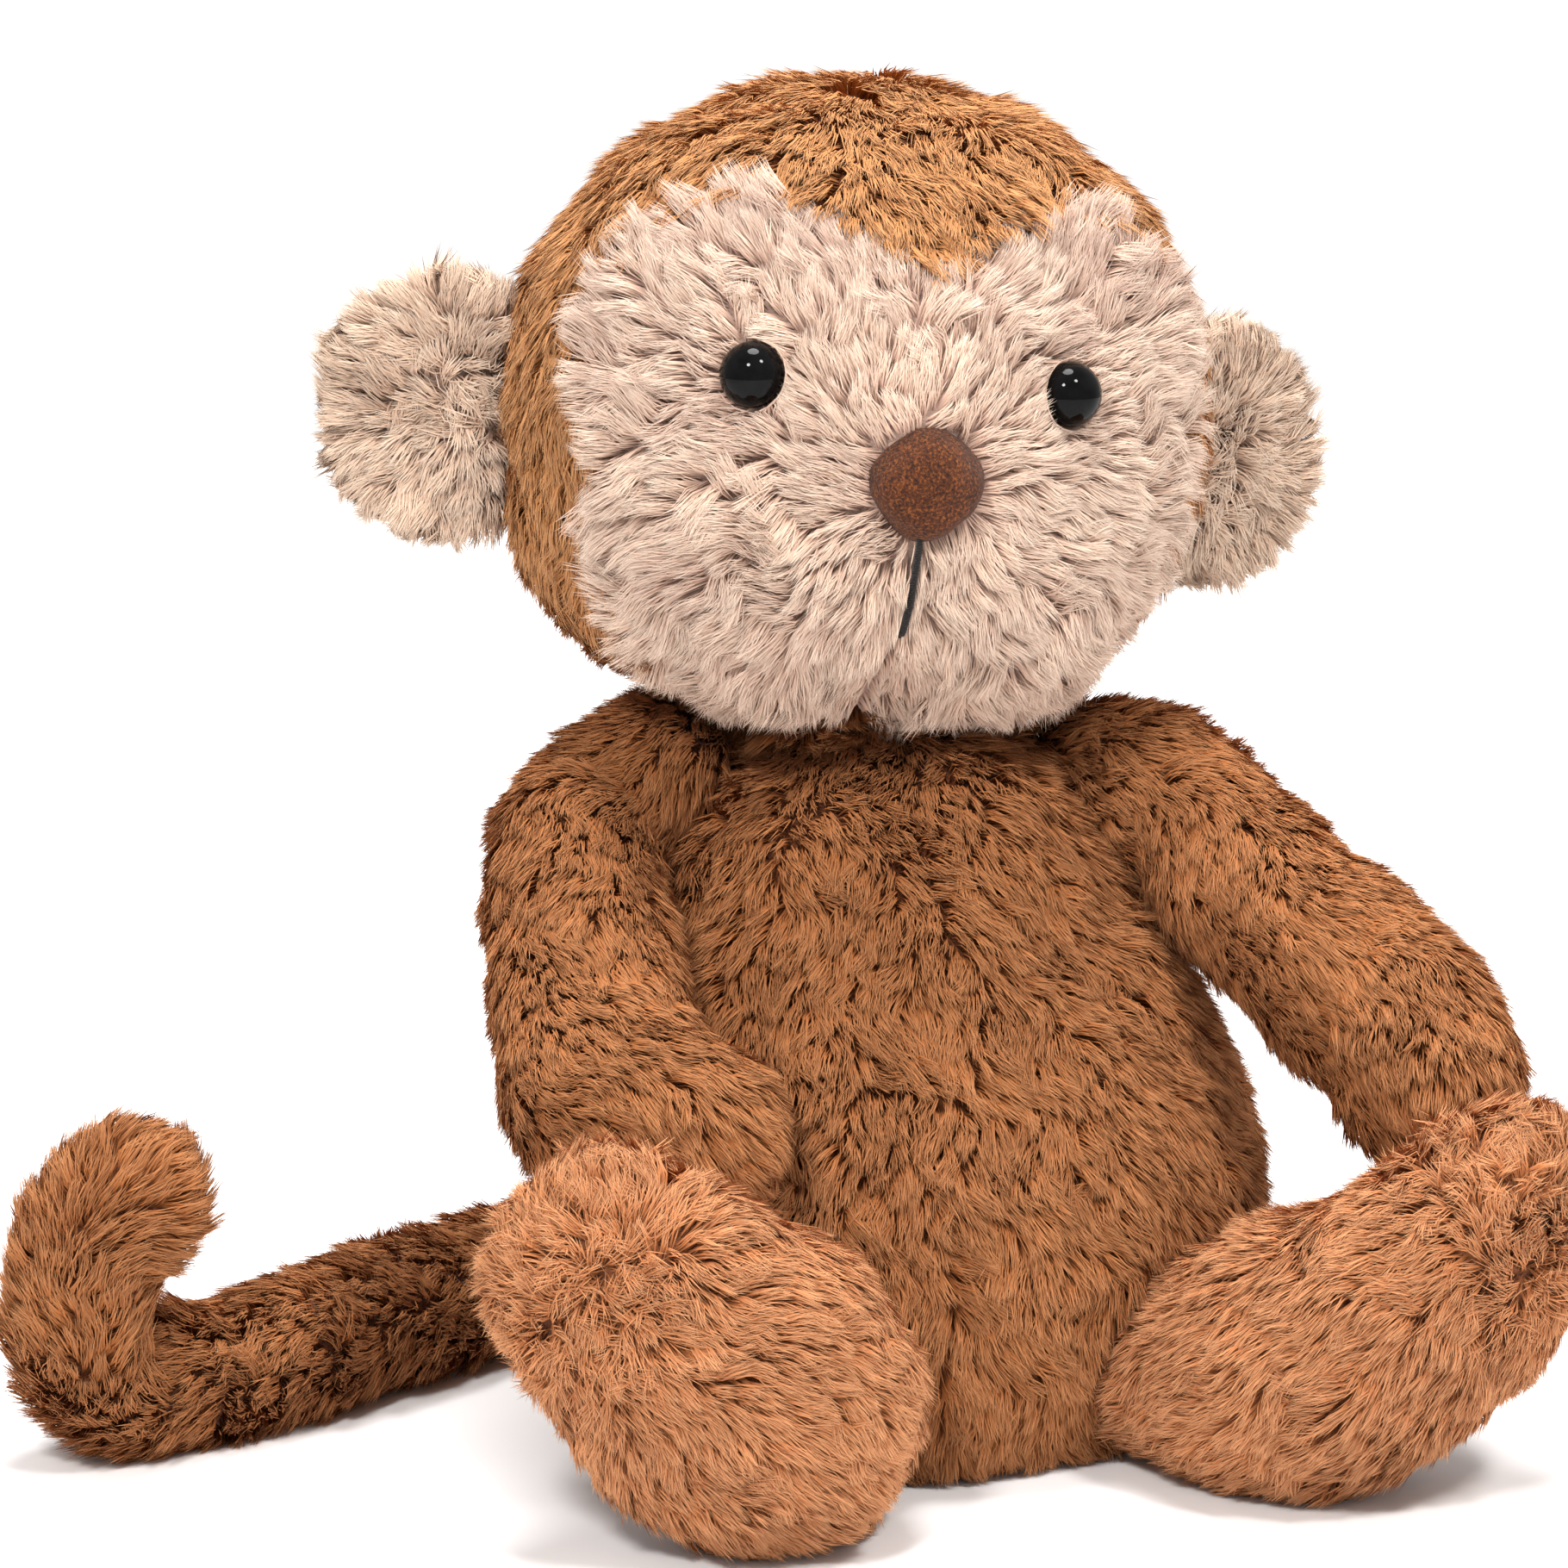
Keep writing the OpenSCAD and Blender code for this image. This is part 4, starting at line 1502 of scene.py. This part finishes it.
def limbs() -> list[Limb]:
    """Every limb of the toy, with the centre line that its solid follows, in millimetres."""
    arm_right = (-43, 6.5, 103.5), (-56.8, -1.5, 96), (-60, -15.5, 84), (-60, -29.5, 71.5)
    arm_right += (-57.5, -41, 63.8), (-50, -47, 58.8)
    arm_left = (28.8, 1.8, 101), (40.3, -10.4, 96.2), (46.5, -19, 87.5), (56.5, -33, 77.5)
    arm_left += (64.5, -43.5, 68.5), (68.5, -49.5, 62.5)
    leg_right = (-29, -43, 17), (-35, -56, 17.5), (-41, -68, 20.5), (-49, -73, 28)
    leg_right += (-58.5, -71.5, 37), (-67, -68, 44.5)
    leg_left = (30, -41, 17), (36, -51, 17.5), (44.5, -61, 20.5), (56, -68, 27.5)
    leg_left += (65.5, -72, 37.5), (71, -74, 46.5)
    tail = (-11, 54, 14), (-22, 61, 11), (-44, 56, 9.2), (-66, 38, 9.2), (-88, 22, 9.2), (-110, 8, 9.2)
    tail += (-125, 0, 9.8), (-136, -5, 16), (-138, -6, 26), (-136, -7, 37), (-130, -8, 43.5)
    hand_bulge = (-67, -38, 62), (-3.2, 0, -1), 15
    tail_bulge = (-70, 35, 14), (0, 1, 3), 45
    return [
        Limb("arm_right", arm_right, Flow.TO_TIP, ARM_NAP, 151, bulge=hand_bulge),
        Limb("arm_left", arm_left, Flow.TO_TIP, ARM_NAP, 152),
        Limb("leg_right", leg_right, Flow.FROM_TOE, FOOT_NAP, 153),
        Limb("leg_left", leg_left, Flow.FROM_TOE, FOOT_NAP, 154),
        Limb("tail", tail, Flow.TO_TIP, TAIL_NAP, 155, ("upper", "lower"), bulge=tail_bulge),
    ]


# --------------------------------------------------------------------------- studio


@dataclass
class Studio:
    """Camera, pale floor and soft light."""

    target: tuple[float, float, float] = (-0.01787, 0.02528, 0.09695)
    place: tuple[float, float, float] = (-0.25991, -1.02311, 0.32566)
    lens: float = 155.4
    floor_radius: float = 1.0
    ambient: float = 0.6
    backdrop: float = 1.05

    def _camera(self) -> None:
        """Put the camera in front of the toy, a little to its right."""
        data = bpy.data.cameras.new("camera")
        data.lens = self.lens
        data.sensor_width = 36
        camera = bpy.data.objects.new("camera", data)
        bpy.context.scene.collection.objects.link(camera)
        camera.location = self.place
        way = Vector(self.target) - Vector(self.place)
        camera.rotation_euler = way.to_track_quat("-Z", "Y").to_euler()
        bpy.context.scene.camera = camera

    def _floor(self) -> None:
        """Lay the floor."""
        angles = np.linspace(0, 2 * math.pi, 96, endpoint=False)
        points = np.stack([np.cos(angles), np.sin(angles), angles * 0], 1) * self.floor_radius
        floor = mesh_of("studio_floor", points, [tuple(range(len(points)))])
        s = Shader("floor_paper", 0.7, Specular_IOR_Level=0.2)
        paper = [(0.3, (0.9, 0.885, 0.88)), (0.7, (0.93, 0.915, 0.91))]
        s.feed("Base Color", s.ramp(s.noise(6), paper))
        floor.data.materials.append(s.material)

    def _light(self, name: str, at: Sequence[float], size: float, power: float, warmth: Rgb) -> None:
        """Hang a soft light that faces the toy.

        Args:
            name: Name of the light.
            at: Its place.
            size: Its width.
            power: Its power in watts.
            warmth: Its colour.
        """
        data = bpy.data.lights.new(name, "AREA")
        data.shape = "DISK"
        data.size = size
        data.energy = power
        data.color = warmth
        lamp = bpy.data.objects.new(name, data)
        bpy.context.scene.collection.objects.link(lamp)
        lamp.location = at
        lamp.rotation_euler = (Vector((0, 0, 0.1)) - Vector(at)).to_track_quat("-Z", "Y").to_euler()

    def build(self) -> None:
        """Set the studio up."""
        self._camera()
        self._floor()
        self._light("key", (0.5, -1.0, 1.55), 0.3, 19, (1.0, 0.985, 0.965))
        self._light("fill", (-0.75, -1.1, 1.3), 0.3, 21, (1.0, 0.99, 0.98))
        self._light("top", (0.0, 0.1, 1.8), 0.8, 34, (1.0, 1.0, 1.0))
        world = bpy.data.worlds.new("surround")
        world.use_nodes = True
        tree = world.node_tree
        seen = tree.nodes.new("ShaderNodeLightPath")
        strength = tree.nodes.new("ShaderNodeMapRange")
        strength.inputs["To Min"].default_value = self.ambient
        strength.inputs["To Max"].default_value = self.backdrop
        tree.links.new(seen.outputs["Is Camera Ray"], strength.inputs["Value"])
        tree.links.new(strength.outputs["Result"], tree.nodes["Background"].inputs["Strength"])
        tree.nodes["Background"].inputs["Color"].default_value = (1.0, 1.0, 1.0, 1)
        bpy.context.scene.world = world
        bpy.context.scene.view_settings.view_transform = "Standard"


def main() -> None:
    """Build the toy in order and note its size."""
    logging.basicConfig(level=logging.INFO, format="%(name)s %(message)s")
    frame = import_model()
    Studio().build()
    shop = Workshop(frame, wardrobe())
    torso = Torso()
    torso.sew(shop)
    parts = limbs()
    for limb in parts:
        limb.sew(shop)
    Head().build(shop)
    for side in Side:
        Ear(side).build(shop)
    torso.build(shop)
    for limb in parts:
        limb.build(shop)
    bpy.data.objects.remove(shop.skins["head"])


if __name__ == "__main__":
    main()
